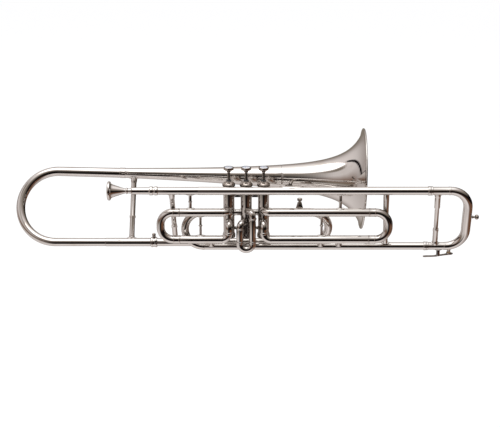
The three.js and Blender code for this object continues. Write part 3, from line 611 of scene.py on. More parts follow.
def plate(corners, thickness, axis=Y, soft=3.0):
    """A flat plate with rounded corners, from its outline of points in one plane."""
    outline = []
    count = len(corners)
    for i, corner in enumerate(corners):
        corner = Vector(corner)
        before = Vector(corners[i - 1]) - corner
        after = Vector(corners[(i + 1) % count]) - corner
        reach = min(soft, before.length / 2.1, after.length / 2.1)
        start = corner + before.normalized() * reach
        end = corner + after.normalized() * reach
        for k in range(6):
            t = k / 5
            outline.append(start * (1 - t) ** 2 + corner * 2 * t * (1 - t) + end * t ** 2)
    centre = sum(outline, Vector()) / len(outline)
    half = Vector(axis) * thickness / 2
    inset = 0.3 / max((p - centre).length for p in outline)

    def layer(offset, shrink):
        return [p + (centre - p) * shrink + offset for p in outline]

    rings = [[centre - half], layer(-half, inset * 2), layer(-half * 0.7, 0), layer(half * 0.7, 0),
             layer(half, inset * 2), [centre + half]]
    return skin(rings, False)


def casing_webs(valve):
    """The soldered webs between two casings: an arched one on top and a small one low down."""
    left = valve_x(valve) + 7.5
    right = valve_x(valve + 1) - 7.5
    mesh_piece(f"upper_web_{valve}{valve + 1}", plate([
        (left, -1.5, 22.5), (left, -1.5, 33.5), (right, -1.5, 33.5), (right, -1.5, 22.5),
    ], 3.2, Y, 2.0), "horn", [f"casing_bridge_{valve}{valve + 1}"])
    tube = Tube(-1, -35.6, 2.6)
    mesh_piece(f"lower_web_{valve}{valve + 1}", turned([
        (left, 0), (left, 4.2), (left + 2.4, 3.4), (left + 5, 2.5), (right - 5, 2.5), (right - 2.4, 3.4),
        (right, 4.2), (right, 0),
    ], (0, tube.y, tube.z), X, 40, 0.6), "horn")


for number in VALVES:
    valve_casing(number)
    valve_caps(number)
    piston(number)
    valve_spring(number)
for number in (1, 2):
    port_tube(number)
    casing_webs(number)


# ---------------------------------------------------------------- mouthpiece and leadpipe
def mouthpiece():
    outline = [
        (0.2, 13.4), (0, 14.6), (0.4, 15.9), (1.6, 16.8), (3.4, 17), (4.9, 16.5), (5.7, 15.2), (6.3, 13.4),
        (7.6, 12.3), (10, 11.3), (14, 9.9), (19, 8.2), (24, 6.5), (28.5, 5.1), (31.4, 4.3), (32.2, 4.4),
        (32.8, 5.3), (33.6, 5.7), (34.6, 5.6), (35.4, 4.9), (36, 4.4), (38, 4.6), (41.6, 4.95), (64, 4.5),
        (64, 3.6), (40, 2.4), (26, 1.9), (23, 2.8), (20, 4.6), (16, 7.0), (12, 9.3), (8, 11.0), (4, 12.3),
        (1.6, 12.9),
    ]
    mesh_piece("mouthpiece_cup", turned(outline, LEAD.at(MOUTHPIECE_RIM_X), X, 96, 0.8),
               "mouthpiece_body", ["mouthpiece"])


def receiver():
    length = RECEIVER_END - RECEIVER_START
    outline = [
        (0, 6.3), (0.5, 6.9), (1.5, 7.0), (2.1, 6.5), (3, 6.2), (length - 16, 6.4), (length - 15.4, 6.6),
        (length - 14.9, 7.7), (length - 13.6, 7.9), (length - 10.6, 7.9), (length - 9.4, 7.7),
        (length - 8.8, 6.9), (length - 7, 6.9), (length - 6.4, 7.7), (length - 5.2, 7.9), (length - 2.2, 7.9),
        (length - 1, 7.6), (length - 0.3, 6.9), (length, 6.8), (length, 5.15), (0, 5.15),
    ]
    mesh_piece("receiver_tube", turned(outline, LEAD.at(RECEIVER_START), X, 72, 0.3), "horn",
               ["mouthpiece_receiver"])


def ring_end(tube, x0):
    """Outline of a long outer tube whose right end is a ring for the tuning slide."""
    radius = tube.radius
    ring = TUNING_RING_X
    return [(x0, radius), (ring - 2.4, radius), (ring - 2.1, radius + 0.9), (ring - 1.2, radius + 1.1),
            (ring + 1.2, radius + 1.1), (ring + 2.1, radius + 0.9), (ring + 2.2, radius)]


mouthpiece()
receiver()
mesh_piece("leadpipe_tube", tube_shape(LEAD, [(RECEIVER_END - 0.5, LEADPIPE_RADIUS),
                                              (LEAD_STEP_X + 2, LEADPIPE_RADIUS)], 5.6), "horn", ["leadpipe"])
mesh_piece("lead_outer_tube", tube_shape(LEAD, ring_end(LEAD, LEAD_STEP_X), LEAD.radius - WALL), "horn",
           ["lead_slide_tube"])


# ---------------------------------------------------------------- lower tubes and their bends
def port_bend(name, valve, outward, bend_x, tube, node):
    port_x = valve_x(valve)
    drop = Vector((0, tube.y, tube.z - PORT_Z))
    reach = CASING_RADIUS - 0.8
    route = Route((port_x + outward * reach, 0, PORT_Z), X * outward)
    route.straight(abs(bend_x - port_x) - reach)
    route.bend(drop.length / 2, drop, 180.0, 4.5)
    mesh_piece(name, pipe(route, tube.radius), "horn", [node])
    for end, x, y, z in (("port", port_x + outward * (CASING_RADIUS + 1.2), 0, PORT_Z),
                         ("tube", bend_x, tube.y, tube.z)):
        ring = band(-1.6, 1.6, tube.radius - 0.2, tube.radius + 0.5)
        mesh_piece(f"{name}_{end}_ring", turned(ring, (x, y, z), X, 56), "horn")


port_bend("return_half_turn", 1, -1, RETURN_BEND_X, RETURN, "return_bend")
port_bend("branch_half_turn", 3, 1, BRANCH_BEND_X, BRANCH, "branch_bend")
mesh_piece("return_outer_tube", tube_shape(RETURN, ring_end(RETURN, RETURN_BEND_X), RETURN.radius - WALL),
           "horn", ["return_tube"])
mesh_piece("branch_long_tube", tube_shape(BRANCH, [(LOCK_SEAM_X, BRANCH.radius),
                                                   (BRANCH_BEND_X, BRANCH.radius)],
                                          BRANCH.radius - WALL), "horn", ["branch_tube"])


# ---------------------------------------------------------------- braces
def strut(name, start, end, profile, body, nodes=(), count=40):
    """A turned strut; profile is (share of its length, radius) pairs."""
    span = end - start
    length = span.length
    outline = [(0, 0), *((share * length, radius) for share, radius in profile), (length, 0)]
    return mesh_piece(name, turned(outline, start, span, count, 0.3), body, nodes)


def foot(name, tube, x, toward, body, half_length=8.0, half_width=5.2, radius=None):
    mesh_piece(name, saddle(tube.at(x), X, toward, tube.radius if radius is None else radius,
                            half_length, half_width), body)


def waisted(low, waist, high, ring_share, ring):
    """Profile of a strut that flares into its feet and carries one turned ring."""
    return [(0, low), (0.06, low), (0.14, waist + 0.3), (0.22, waist), (ring_share - 0.025, waist),
            (ring_share - 0.02, ring), (ring_share + 0.02, ring), (ring_share + 0.025, waist),
            (0.8, waist), (0.88, waist + 0.3), (0.95, high), (1, high)]


def lead_braces():
    top = LEAD.at(-131.6)
    low = BRANCH.at(-128.6)
    strut("lead_branch_strut", top, low, [
        (0, 5.2), (0.1, 5.2), (0.16, 4.4), (0.66, 4.4), (0.66, 5.4), (0.70, 5.4), (0.70, 4.7), (0.86, 4.7),
        (0.9, 5.4), (1, 5.4)], "horn", ["lead_branch_brace"])
    foot("lead_branch_top_foot", LEAD, -131.6, low - top, "horn", 7.5, 5.5, LEADPIPE_RADIUS)
    foot("lead_branch_low_foot", BRANCH, -128.6, top - low, "horn", 8.5, 5.5)
    for number, x, radius in ((1, -98.7, LEADPIPE_RADIUS), (3, 166.5, LEAD.radius)):
        strut(f"lead_slide_{number}_strut", LEAD.at(x), SIDE_UPPER.at(x),
              waisted(4.6, 2.7, 4.2, 0.5, 3.5), "horn", [f"lead_slide_{number}_brace"])
        foot(f"lead_slide_{number}_top_foot", LEAD, x, -Z, "horn", 7, 5, radius)
        foot(f"lead_slide_{number}_low_foot", SIDE_UPPER, x, Z, "horn", 8, 5)
    top = Vector((247.8, LEAD.y + 6, LEAD.z))
    low = RETURN.at(251)
    strut("lead_return_strut", top, low, [(0, 5.2), (0.15, 5.2), (0.3, 4.9), (0.8, 4.3), (1, 4.6)], "horn",
          ["lead_return_brace"])
    foot("lead_return_low_foot", RETURN, 251, top - low, "horn", 8, 5)


lead_braces()


# ---------------------------------------------------------------- valve slides 1 and 3
def knuckle_ring(valve):
    """The rounded ring where a lower slide leg turns down from its valve."""
    radius = SIDE_LOWER.radius
    mesh_piece(f"slide_{valve}_knuckle_ring", turned([
        (-2.2, radius - 0.8), (-2.2, radius + 0.1), (-1.6, radius + 0.7), (1.6, radius + 0.7),
        (2.2, radius + 0.1), (2.2, radius - 0.8),
    ], (valve_x(valve), SIDE_LOWER.y, KNUCKLE_RING_Z), Z, 56, 0.4), "horn")


def slide_sleeve(valve, row, tube, turn, outward, seam_x):
    """The straight part of a fixed leg, from the lip at its bend to the slide's seam."""
    lip = valve_x(valve) + outward * (turn - 0.5)
    low, high = sorted((lip, seam_x))
    mesh_piece(f"slide_{valve}_{row}_sleeve", tube_shape(
        tube, [(low, tube.radius), (high, tube.radius)], tube.radius - WALL),
        "horn", [f"slide_{valve}_{row}_tube"])
    mesh_piece(f"slide_{valve}_{row}_lip", tube_shape(
        tube, [(lip - 1.2, tube.radius + 0.35), (lip + 1.2, tube.radius + 0.35)], tube.radius - 0.8), "horn")


def slide_upper(valve, outward, seam_x):
    x = valve_x(valve)
    front = Vector((x, -(CASING_RADIUS - 2), SIDE_UPPER.z))
    elbow = Route(front, -Y).straight(-SIDE_UPPER.y - ELBOW + front.y).bend(ELBOW, X * outward, 90, 7.5)
    node = f"slide_{valve}_upper_tube"
    mesh_piece(f"slide_{valve}_upper_elbow", pipe(elbow, SIDE_UPPER.radius - 0.5, SIDE_UPPER.radius - 1.3),
               "horn", [node])
    slide_sleeve(valve, "upper", SIDE_UPPER, ELBOW, outward, seam_x)


def slide_lower(valve, outward, seam_x, post_x, feet_x):
    x = valve_x(valve)
    node = f"slide_{valve}_lower_tube"
    front = Vector((x, -(CASING_RADIUS - 2), LOWER_PORT_Z))
    knuckle = Route(front, -Y).straight(-SIDE_LOWER.y - ELBOW + front.y).bend(ELBOW, -Z, 90, 7.5)
    knuckle.straight(LOWER_PORT_Z - ELBOW - SIDE_LOWER.z - TURN_UP).bend(TURN_UP, X * outward, 90, 7.5)
    mesh_piece(f"slide_{valve}_knuckle", pipe(knuckle, SIDE_LOWER.radius - 0.35, SIDE_LOWER.radius - 1.1),
               "horn", [node])
    knuckle_ring(valve)
    slide_sleeve(valve, "lower", SIDE_LOWER, TURN_UP, outward, seam_x)
    strut(f"slide_{valve}_post", SIDE_UPPER.at(post_x), SIDE_LOWER.at(post_x),
          waisted(3.8, 2.2, 4.4, 0.48, 3.3), "horn", [node])
    foot(f"slide_{valve}_post_top_foot", SIDE_UPPER, post_x, -Z, "horn", 6, 4.4)
    foot(f"slide_{valve}_post_low_foot", SIDE_LOWER, post_x, Z, "horn", 8.5, 4.8)
    for index, foot_x in enumerate(feet_x):
        top = SIDE_LOWER.at(foot_x)
        low = RETURN.at(foot_x)
        strut(f"slide_{valve}_return_post_{index}", top, low,
              [(0, 3), (0.4, 2.6), (0.6, 2.6), (0.8, 4), (1, 4)],
              "horn", [node])
        foot(f"slide_{valve}_return_foot_{index}", RETURN, foot_x, top - low, "horn", 6, 4.6)


def side_crook(valve, outward, seam_x, leg_length, depth):
    """The bow of a side slide, its two ferrules and its two inner legs, all one sliding piece."""
    body = f"slide_{valve}"
    node = f"slide_{valve}_crook"
    half = (SIDE_UPPER.z - SIDE_LOWER.z) / 2
    corner = min(depth, half)
    radius = SIDE_UPPER.radius
    start = SIDE_UPPER.at(seam_x + outward * (FERRULE - 0.5))
    bow = Route(start, X * outward).straight(depth - corner + 0.5).bend(corner, -Z)
    if half > corner:
        bow.straight(2 * (half - corner))
    bow.bend(corner, X * -outward).straight(depth - corner + 0.5)
    mesh_piece(f"slide_{valve}_bow", pipe(bow, radius - 0.15), body, [node])
    for name, tube in (("upper", SIDE_UPPER), ("lower", SIDE_LOWER)):
        inner = tube.radius - SLIDE_FIT
        along = X * outward
        mesh_piece(f"slide_{valve}_{name}_ferrule", turned([
            (GAP, inner - 0.5), (GAP, radius + 0.1), (GAP + 0.5, radius + 0.5), (GAP + 1.7, radius + 0.5),
            (GAP + 2.1, radius + 0.2), (FERRULE - 1.4, radius + 0.2), (FERRULE - 1, radius + 0.5),
            (FERRULE + 0.1, radius + 0.45), (FERRULE + 0.4, radius), (FERRULE + 0.4, inner - 0.5),
        ], tube.at(seam_x), along, 56, 0.15), body)
        mesh_piece(f"slide_{valve}_{name}_leg", turned([
            (2, inner), (2, inner - WALL), (2 - leg_length, inner - WALL), (2 - leg_length, inner),
        ], tube.at(seam_x), along, 48, 0.1), body)


slide_upper(1, -1, SLIDE_1_SEAM_X)
slide_lower(1, -1, SLIDE_1_SEAM_X, -81.2, [-63])
side_crook(1, -1, SLIDE_1_SEAM_X, 58, SLIDE_1_DEPTH)
slide_upper(3, 1, SLIDE_3_SEAM_X)
slide_lower(3, 1, SLIDE_3_SEAM_X, 133.9, [134, 166.5])
side_crook(3, 1, SLIDE_3_SEAM_X, 100, SLIDE_3_DEPTH)


# ---------------------------------------------------------------- valve slide 2
def hanging_leg(name, side, port_z, knee_z, node):
    """One fixed leg of the second slide: out of the casing's front, sideways, and down."""
    front = Vector((side * 1.5, -(CASING_RADIUS - 2.5), port_z))
    leg = Vector((side * SLIDE_2_HALF, SIDE_UPPER.y, knee_z))
    out = Vector((leg.x - front.x, leg.y - front.y, 0))
    knee = 7.5
    route = Route(front, out).straight(out.length - knee).bend(knee, -Z, 90, 7.5)
    route.straight(route.end.z - knee_z + 1)
    mesh_piece(f"{name}_elbow", pipe(route, SLIDE_2_RADIUS - 0.4, SLIDE_2_RADIUS - 1.2), "horn", [node])
    mesh_piece(f"{name}_sleeve", turned([
        (SLIDE_2_SEAM_Z, SLIDE_2_RADIUS), (knee_z, SLIDE_2_RADIUS), (knee_z, SLIDE_2_RADIUS - WALL),
        (SLIDE_2_SEAM_Z, SLIDE_2_RADIUS - WALL),
    ], (leg.x, leg.y, 0), Z, 56), "horn", [node])
    mesh_piece(f"{name}_ring", turned([
        (knee_z - 1.2, SLIDE_2_RADIUS - 0.8), (knee_z - 1.2, SLIDE_2_RADIUS + 0.4),
        (knee_z - 0.6, SLIDE_2_RADIUS + 0.8), (knee_z + 1.0, SLIDE_2_RADIUS + 0.8),
        (knee_z + 1.6, SLIDE_2_RADIUS + 0.4), (knee_z + 1.6, SLIDE_2_RADIUS - 0.8),
    ], (leg.x, leg.y, 0), Z, 56), "horn")


def hanging_crook():
    inner = SLIDE_2_RADIUS - SLIDE_FIT
    low = SLIDE_2_SEAM_Z - GAP
    start = Vector((-SLIDE_2_HALF, SIDE_UPPER.y, low - 0.5))
    bow = Route(start, -Z).straight(4.2).bend(SLIDE_2_HALF, X, 180, 6).straight(4.2)
    mesh_piece("slide_2_bow", pipe(bow, SLIDE_2_RADIUS), "slide_2", ["slide_2_crook"])
    for name, side in (("left", -1), ("right", 1)):
        top = (side * SLIDE_2_HALF, SIDE_UPPER.y, low)
        mesh_piece(f"slide_2_{name}_ferrule", turned([
            (-3.4, inner - 0.4), (-3.4, SLIDE_2_RADIUS + 0.3), (-2.8, SLIDE_2_RADIUS + 0.6),
            (-0.6, SLIDE_2_RADIUS + 0.6), (0, SLIDE_2_RADIUS + 0.3), (0, inner - 0.4),
        ], top, Z, 56, 0.3), "slide_2")
        mesh_piece(f"slide_2_{name}_leg", turned([
            (-1.5, inner), (16.5, inner), (16.5, inner - WALL), (-1.5, inner - WALL),
        ], top, Z, 48, 0.1), "slide_2")


hanging_leg("slide_2_left", -1, LOWER_PORT_Z, -31, "slide_2_left_tube")
hanging_leg("slide_2_right", 1, -1.5, -12.4, "slide_2_right_tube")
hanging_crook()


# ---------------------------------------------------------------- main tuning slide
TUNING = "tuning_slide_body"
KNOB_AT = Vector((401.3, -12.2, -11.5))
KEY_PIVOT = Vector((347.5, RETURN.y, -88.3))
KEY_UNDER = RETURN.z - RETURN.radius
TUNING_BRACE_TOP_X = 337.9
TUNING_BRACE_LOW_X = 340.7
NIPPLE_X = 366.5
NIPPLE_LOW = -82.2
CORK_HEIGHT = 1.9


def tuning_slide():
    drop = RETURN.at(0) - LEAD.at(0)
    half = drop.length / 2
    start = LEAD.at(TUNING_SEAM_X - 0.5)
    bow = Route(start, X).straight(0.5).bend(TUNING_DEPTH, drop, 90, 3.6)
    straight = (half - TUNING_DEPTH) / 3
    for _ in range(6):
        bow.straight(straight)
    bow.bend(TUNING_DEPTH, -X, 90, 3.6).straight(0.5)
    node = "tuning_slide"
    mesh_piece("tuning_bow", pipe(
        bow, LEAD.radius, LEAD.radius - WALL,
        scale=lambda share: 1 + TUNING_SWELL / LEAD.radius * math.sin(math.pi * share)), TUNING, [node])
    shoulder = TUNING_RING_X + 2.5
    for name, tube in (("lead", LEAD), ("return", RETURN)):
        inner = tube.radius - SLIDE_FIT
        radius = tube.radius
        mesh_piece(f"tuning_{name}_sleeve", tube_shape(tube, [
            (shoulder, radius + 0.9), (shoulder + 3.0, radius + 0.9), (shoulder + 3.4, radius),
            (TUNING_SEAM_X - 3.2, radius), (TUNING_SEAM_X - 2.8, radius + 0.35),
            (TUNING_SEAM_X + 0.6, radius + 0.35), (TUNING_SEAM_X + 0.8, radius)], inner - 0.4),
            TUNING, [node])
        mesh_piece(f"tuning_{name}_leg", tube_shape(tube, [
            (shoulder - 94, inner), (shoulder + 2, inner)], inner - WALL), TUNING)
    mesh_piece("tuning_knob", turned([
        (-3, 0), (-3, 1.7), (0.4, 1.6), (1, 2.6), (2.6, 2.7), (3.3, 1.6), (5.0, 1.4), (5.6, 2.4),
        (6.4, 3.6), (7.8, 4.4), (10.2, 4.4), (11.7, 3.4), (12.6, 1.6), (12.6, 0),
    ], KNOB_AT, X, 48, 0.4), TUNING, [node], SHADED_NICKEL)


def tuning_brace():
    top = LEAD.at(TUNING_BRACE_TOP_X)
    low = RETURN.at(TUNING_BRACE_LOW_X)
    strut("tuning_strut", top, low, [
        (0, 5.6), (0.09, 5.6), (0.11, 5.1), (0.3, 5.1), (0.3, 4.0), (0.68, 3.8), (0.68, 5.2), (0.72, 5.2),
        (0.72, 4.8), (0.9, 4.8), (0.93, 5.5), (1, 5.5)], TUNING, ["tuning_brace"])
    foot("tuning_strut_top_foot", LEAD, TUNING_BRACE_TOP_X, low - top, TUNING, 8, 5.4)
    foot("tuning_strut_low_foot", RETURN, TUNING_BRACE_LOW_X, top - low, TUNING, 8, 5.4)


def key_saddle():
    """The nipple under the lower leg and the two ears that carry the key's pin."""
    node = "tuning_slide"
    mesh_piece("key_nipple", turned([
        (0, 1.4), (0, 2.6), (1.0, 3.2), (3.6, 3.2), (4.4, 4.2), (5.4, 4.6), (5.4, 1.4),
    ], (NIPPLE_X, RETURN.y, NIPPLE_LOW), Z, 48, 0.3), TUNING, [node])
    foot("key_saddle_foot", RETURN, KEY_PIVOT.x, -Z, TUNING, 6.5, 5.2)
    for name, side in (("near", -1), ("far", 1)):
        y = RETURN.y + side * 3.1
        mesh_piece(f"key_ear_{name}", plate([
            (KEY_PIVOT.x - 2.7, y, KEY_UNDER + 0.6), (KEY_PIVOT.x + 2.7, y, KEY_UNDER + 0.6),
            (KEY_PIVOT.x + 2.7, y, KEY_UNDER - 12.0), (KEY_PIVOT.x - 2.7, y, KEY_UNDER - 12.0),
        ], 1.2, Y, 2.4), TUNING, [node])
    mesh_piece("key_pin", turned([(-5.2, 0), (-5.2, 1.5), (-4.2, 1.5), (-4.2, 0.8), (4.2, 0.8), (4.2, 1.3),
                                  (4.9, 1.3), (4.9, 0)], KEY_PIVOT, Y, 32, 0.2), TUNING, [node])


def bar_shape(stations):
    """A bar through (point, width, thickness) stations of its side view, rounded in section."""
    rings = []
    count = 24
    for i, (point, width, thickness) in enumerate(stations):
        before = stations[max(i - 1, 0)][0]
        after = stations[min(i + 1, len(stations) - 1)][0]
        heading = (after - before).normalized()
        up = Y.cross(heading).normalized() * -1
        ring = []
        for k in range(count):
            t = 2 * math.pi * k / count
            across_bar = math.copysign(abs(math.cos(t)) ** 0.5, math.cos(t)) * width / 2
            through = math.copysign(abs(math.sin(t)) ** 0.5, math.sin(t)) * thickness / 2
            ring.append(point + Y * across_bar + up * through)
        rings.append(ring)
    return skin([[stations[0][0]], *rings, [stations[-1][0]]], False)


def water_key():
    body = "water_key_lever"
    y = RETURN.y

    def station(x, z, width, thickness):
        return Vector((x, y, z)), width, thickness

    mesh_piece("key_lever", bar_shape([
        station(320.4, -91.9, 3.6, 0.8), station(321.2, -91.8, 6.4, 1.2), station(326, -91.5, 7.4, 1.4),
        station(333, -91.4, 6.4, 1.6), station(339, -91.2, 5.2, 2.0), station(344, -90.6, 4.4, 2.8),
        station(347.5, -90.0, 4.2, 3.0), station(352, -89.4, 4.0, 2.6), station(359, -88.3, 4.0, 2.6),
        station(363, -87.6, 4.6, 3.2), station(367, -87.0, 5.4, 3.6), station(371, -86.5, 5.2, 3.6),
        station(373.6, -86.1, 4.0, 2.6), station(374.4, -86.0, 2.2, 1.2),
    ]), body, ["water_key"], SHADED_NICKEL)
    mesh_piece("key_hub", turned(band(-2.1, 2.1, 1.1, 2.2), KEY_PIVOT, Y, 40), body, (), SHADED_NICKEL)
    cup_top = NIPPLE_LOW - GAP - CORK_HEIGHT - GAP
    mesh_piece("key_cup", turned([
        (-2.6, 0), (-2.6, 2.4), (-1.8, 3.8), (-0.6, 4.2), (1.1, 4.2), (1.1, 3.7), (0, 3.7), (0, 0),
    ], (NIPPLE_X, y, cup_top), Z, 48, 0.3), body, (), SHADED_NICKEL)
    mesh_piece("key_cork", turned([
        (0, 0), (0, 3.3), (CORK_HEIGHT - 0.3, 3.4), (CORK_HEIGHT, 3.0), (CORK_HEIGHT, 0),
    ], (NIPPLE_X, y, cup_top + GAP), Z, 48, 0.3), body, ["water_key_cork"], CORK)
    coil = helix(KEY_PIVOT - Y * 2.3, Y, 2.75, 4.6, 2.5)
    mesh_piece("key_spring", solid_pipe(coil, 0.35, 8), body, (), STEEL)


tuning_slide()
tuning_brace()
key_saddle()
water_key()

# ---------------------------------------------------------------- bell section
def toward_branch(point):
    """The direction square to X that points from here to the long lower tube."""
    return Vector((0, BRANCH.y - point.y, BRANCH.z - point.z)).normalized()


REACH = BELL_RIM.x - BOW_START_X
LEG_DROP = toward_branch(BELL_RIM - toward_branch(BELL_RIM) * REACH * math.tan(BELL_SLOPE))
BELL_AXIS = X * math.cos(BELL_SLOPE) + LEG_DROP * math.sin(BELL_SLOPE)
BOW_START = BELL_RIM - BELL_AXIS * REACH / math.cos(BELL_SLOPE)


def on_bell_axis(from_rim):
    return BELL_RIM - BELL_AXIS * from_rim


def bell_radius(from_rim):
    flare = BELL_RADIUS * (23 / (from_rim + 23)) ** 0.7
    return flare - 0.0075 * max(0, from_rim - BELL_JOIN)


def bell_shell(start, end, count, power, offset=0.0):
    steps = (start + (end - start) * (i / count) ** power for i in range(count + 1))
    return [(-d, bell_radius(d) + offset) for d in steps]


def bell_flare():
    outside = bell_shell(2.6, BELL_JOIN, 44, 1.9)
    inside = [(along, radius - BELL_WALL) for along, radius in bell_shell(0, BELL_JOIN, 44, 1.9)]
    roll = []
    for i in range(13):
        t = math.radians(200 - 290 * i / 12)
        roll.append((-0.5 + 1.55 * math.cos(t), BELL_RADIUS - 0.4 + 1.5 * math.sin(t)))
    profile = [*reversed(outside), *roll, *inside]
    mesh_piece("bell_flare_skin", turned(profile, BELL_RIM, BELL_AXIS, 160, 0.05), "horn", ["bell_flare"])


def bell_tail():
    outside = bell_shell(BELL_JOIN + GAP, BELL_LENGTH, 30, 1.0)
    inside = [(along, radius - BELL_WALL) for along, radius in reversed(outside)]
    mesh_piece("bell_tail_skin", turned([*outside, *inside], BELL_RIM, BELL_AXIS, 96, 0.05), "horn",
               ["bell_tail"])


def bell_bow():
    tail_radius = bell_radius(BELL_LENGTH)
    start = on_bell_axis(BELL_LENGTH + GAP)
    half = (BOW_START - BRANCH.at(BOW_START.x)).length / 2
    route = Route(start, -BELL_AXIS).straight((start - BOW_START).length)
    route.bend(half, LEG_DROP, 180 + math.degrees(BELL_SLOPE), 3)
    route.straight(BELL_LEG_X - GAP - route.end.x)
    mesh_piece("bow_tube", pipe(route, tail_radius, tail_radius - WALL, 56,
                                lambda share: 1 + (BOW_LEG_RADIUS / tail_radius - 1) * min(1, share * 1.1)),
               "horn", ["bell_bow"])
    mesh_piece("bow_ferrule", turned([
        (-1.5, tail_radius - 0.3), (-1.5, tail_radius + 0.25), (-1.1, tail_radius + 0.45),
        (8.2, tail_radius + 0.45), (8.6, tail_radius + 0.2), (8.6, tail_radius - 0.3),
    ], start, -BELL_AXIS, 64, 0.2), "horn")


def bell_leg():
    end = LOCK_SEAM_X - GAP
    tenon = BRANCH.radius - SLIDE_FIT
    mesh_piece("leg_sleeve", tube_shape(BRANCH, [
        (BELL_LEG_X, BELL_LEG_RADIUS - 0.1), (BELL_LEG_X + 0.4, BELL_LEG_RADIUS), (end, BELL_LEG_RADIUS)],
        tenon - 0.3), "horn", ["bell_leg"])
    mesh_piece("leg_tenon", tube_shape(BRANCH, [(end - 1, tenon), (end + 45, tenon)], tenon - WALL), "horn")


def bell_leg_brace():
    from_rim = (BELL_RIM.x + 207.3) / math.cos(BELL_SLOPE)
    top = on_bell_axis(from_rim)
    low = BRANCH.at(LEG_BRACE_X)
    strut("leg_strut", top, low, [
        (0, 5.6), (0.12, 5.6), (0.15, 4.8), (0.62, 4.6), (0.62, 5.5), (0.65, 5.5), (0.65, 4.7), (0.9, 4.8),
        (0.93, 5.6), (1, 5.6)], "horn", ["bell_leg_brace"])
    mesh_piece("leg_strut_top_foot", saddle(top, BELL_AXIS, low - top, bell_radius(from_rim), 9, 6.2), "horn")
    mesh_piece("leg_strut_low_foot", saddle(low, X, top - low, BELL_LEG_RADIUS, 9, 5.8), "horn")


def bell_stay():
    """The stay from the upper tube back to the bell; its long oval foot lies over the tube's top."""
    from_rim = (BELL_RIM.x - BELL_STAY_X) / math.cos(BELL_SLOPE)
    on_lead = LEAD.at(BELL_STAY_X)
    inside = on_bell_axis(from_rim)
    on_bell = inside - Vector((0, 0, STAY_DROP))
    length = (on_bell - on_lead).length
    chord = math.sqrt(bell_radius(from_rim) ** 2 - STAY_DROP ** 2)
    touch = on_bell + (on_lead - on_bell) * chord / length
    end = 1 - (chord - 1.6) / length
    strut("bell_stay_bar", on_lead, on_bell, [
        (0, 5), (0.1, 5), (0.16, 3.2), (0.38, 3.1), (0.39, 4.0), (0.42, 4.0), (0.43, 3.1), (end - 0.1, 3.2),
        (end - 0.03, 5), (end, 5)], "horn", ["bell_stay"])
    over = Vector((0, math.sin(STAY_FOOT_LEAN), math.cos(STAY_FOOT_LEAN)))
    mesh_piece("bell_stay_lead_foot", saddle(on_lead, X, over, LEAD.radius, 23, 8.8, 1.1, 1.5), "horn",
               ["bell_stay"])
    bell_foot = saddle(inside, BELL_AXIS, touch - inside, bell_radius(from_rim), 9, 7)
    mesh_piece("bell_stay_bell_foot", bell_foot, "horn", ["bell_stay"])


bell_flare()
bell_tail()
bell_bow()
bell_leg()
bell_leg_brace()
bell_stay()


# ---------------------------------------------------------------- lock and lyre holder
def lock():
    bore = BRANCH.radius + GAP
    mesh_piece("lock_band", turned([
        (-5.5, bore), (-5.5, bore + 1.2), (-4.9, bore + 1.7), (-2.4, bore + 1.7), (-1.9, bore + 1.2),
        (1.9, bore + 1.2), (2.4, bore + 1.7), (4.9, bore + 1.7), (5.5, bore + 1.2), (5.5, bore),
    ], BRANCH.at(LOCK_X), X, 64, 0.3), "horn", ["lock_collar"])
    mesh_piece("lock_boss", turned([
        (0.5, 1.8), (0.5, 4.2), (1.6, 3.6), (3.8, 3.3), (3.8, 1.8),
    ], BRANCH.at(LOCK_X) + Z * BRANCH.radius, Z, 48, 0.3), "horn")
    mesh_piece("lock_lug", plate([
        (LOCK_X + 1.6, BRANCH.y - 8.2, BRANCH.z + 2.6), (LOCK_X + 5.6, BRANCH.y - 8.2, BRANCH.z + 2.6),
        (LOCK_X + 5.6, BRANCH.y - 8.2, BRANCH.z + 7.5), (LOCK_X + 1.6, BRANCH.y - 8.2, BRANCH.z + 7.5),
    ], 4.6, Y, 1.2), "horn", ["lock_collar"])
    head = [(along + 6.6, radius) for along, radius in ball_profile(3.5, 40, 12)]
    mesh_piece("lock_thumbscrew", turned([
        (0, 0), (0, 1.5), (3.4, 1.5), *head,
    ], BRANCH.at(LOCK_X) + Z * (BRANCH.radius + GAP), Z, 48, 0.2), "lock_screw_body", ["lock_screw"], SHADED_NICKEL)


LYRE_X = 95.4
LYRE_BASE_Z = PORT_Z + BRANCH.radius + GAP
LYRE_TOP_Z = 12.6
LYRE_SOCKET = 5.0
LYRE_SOCKET_Z = LYRE_BASE_Z + 4.6


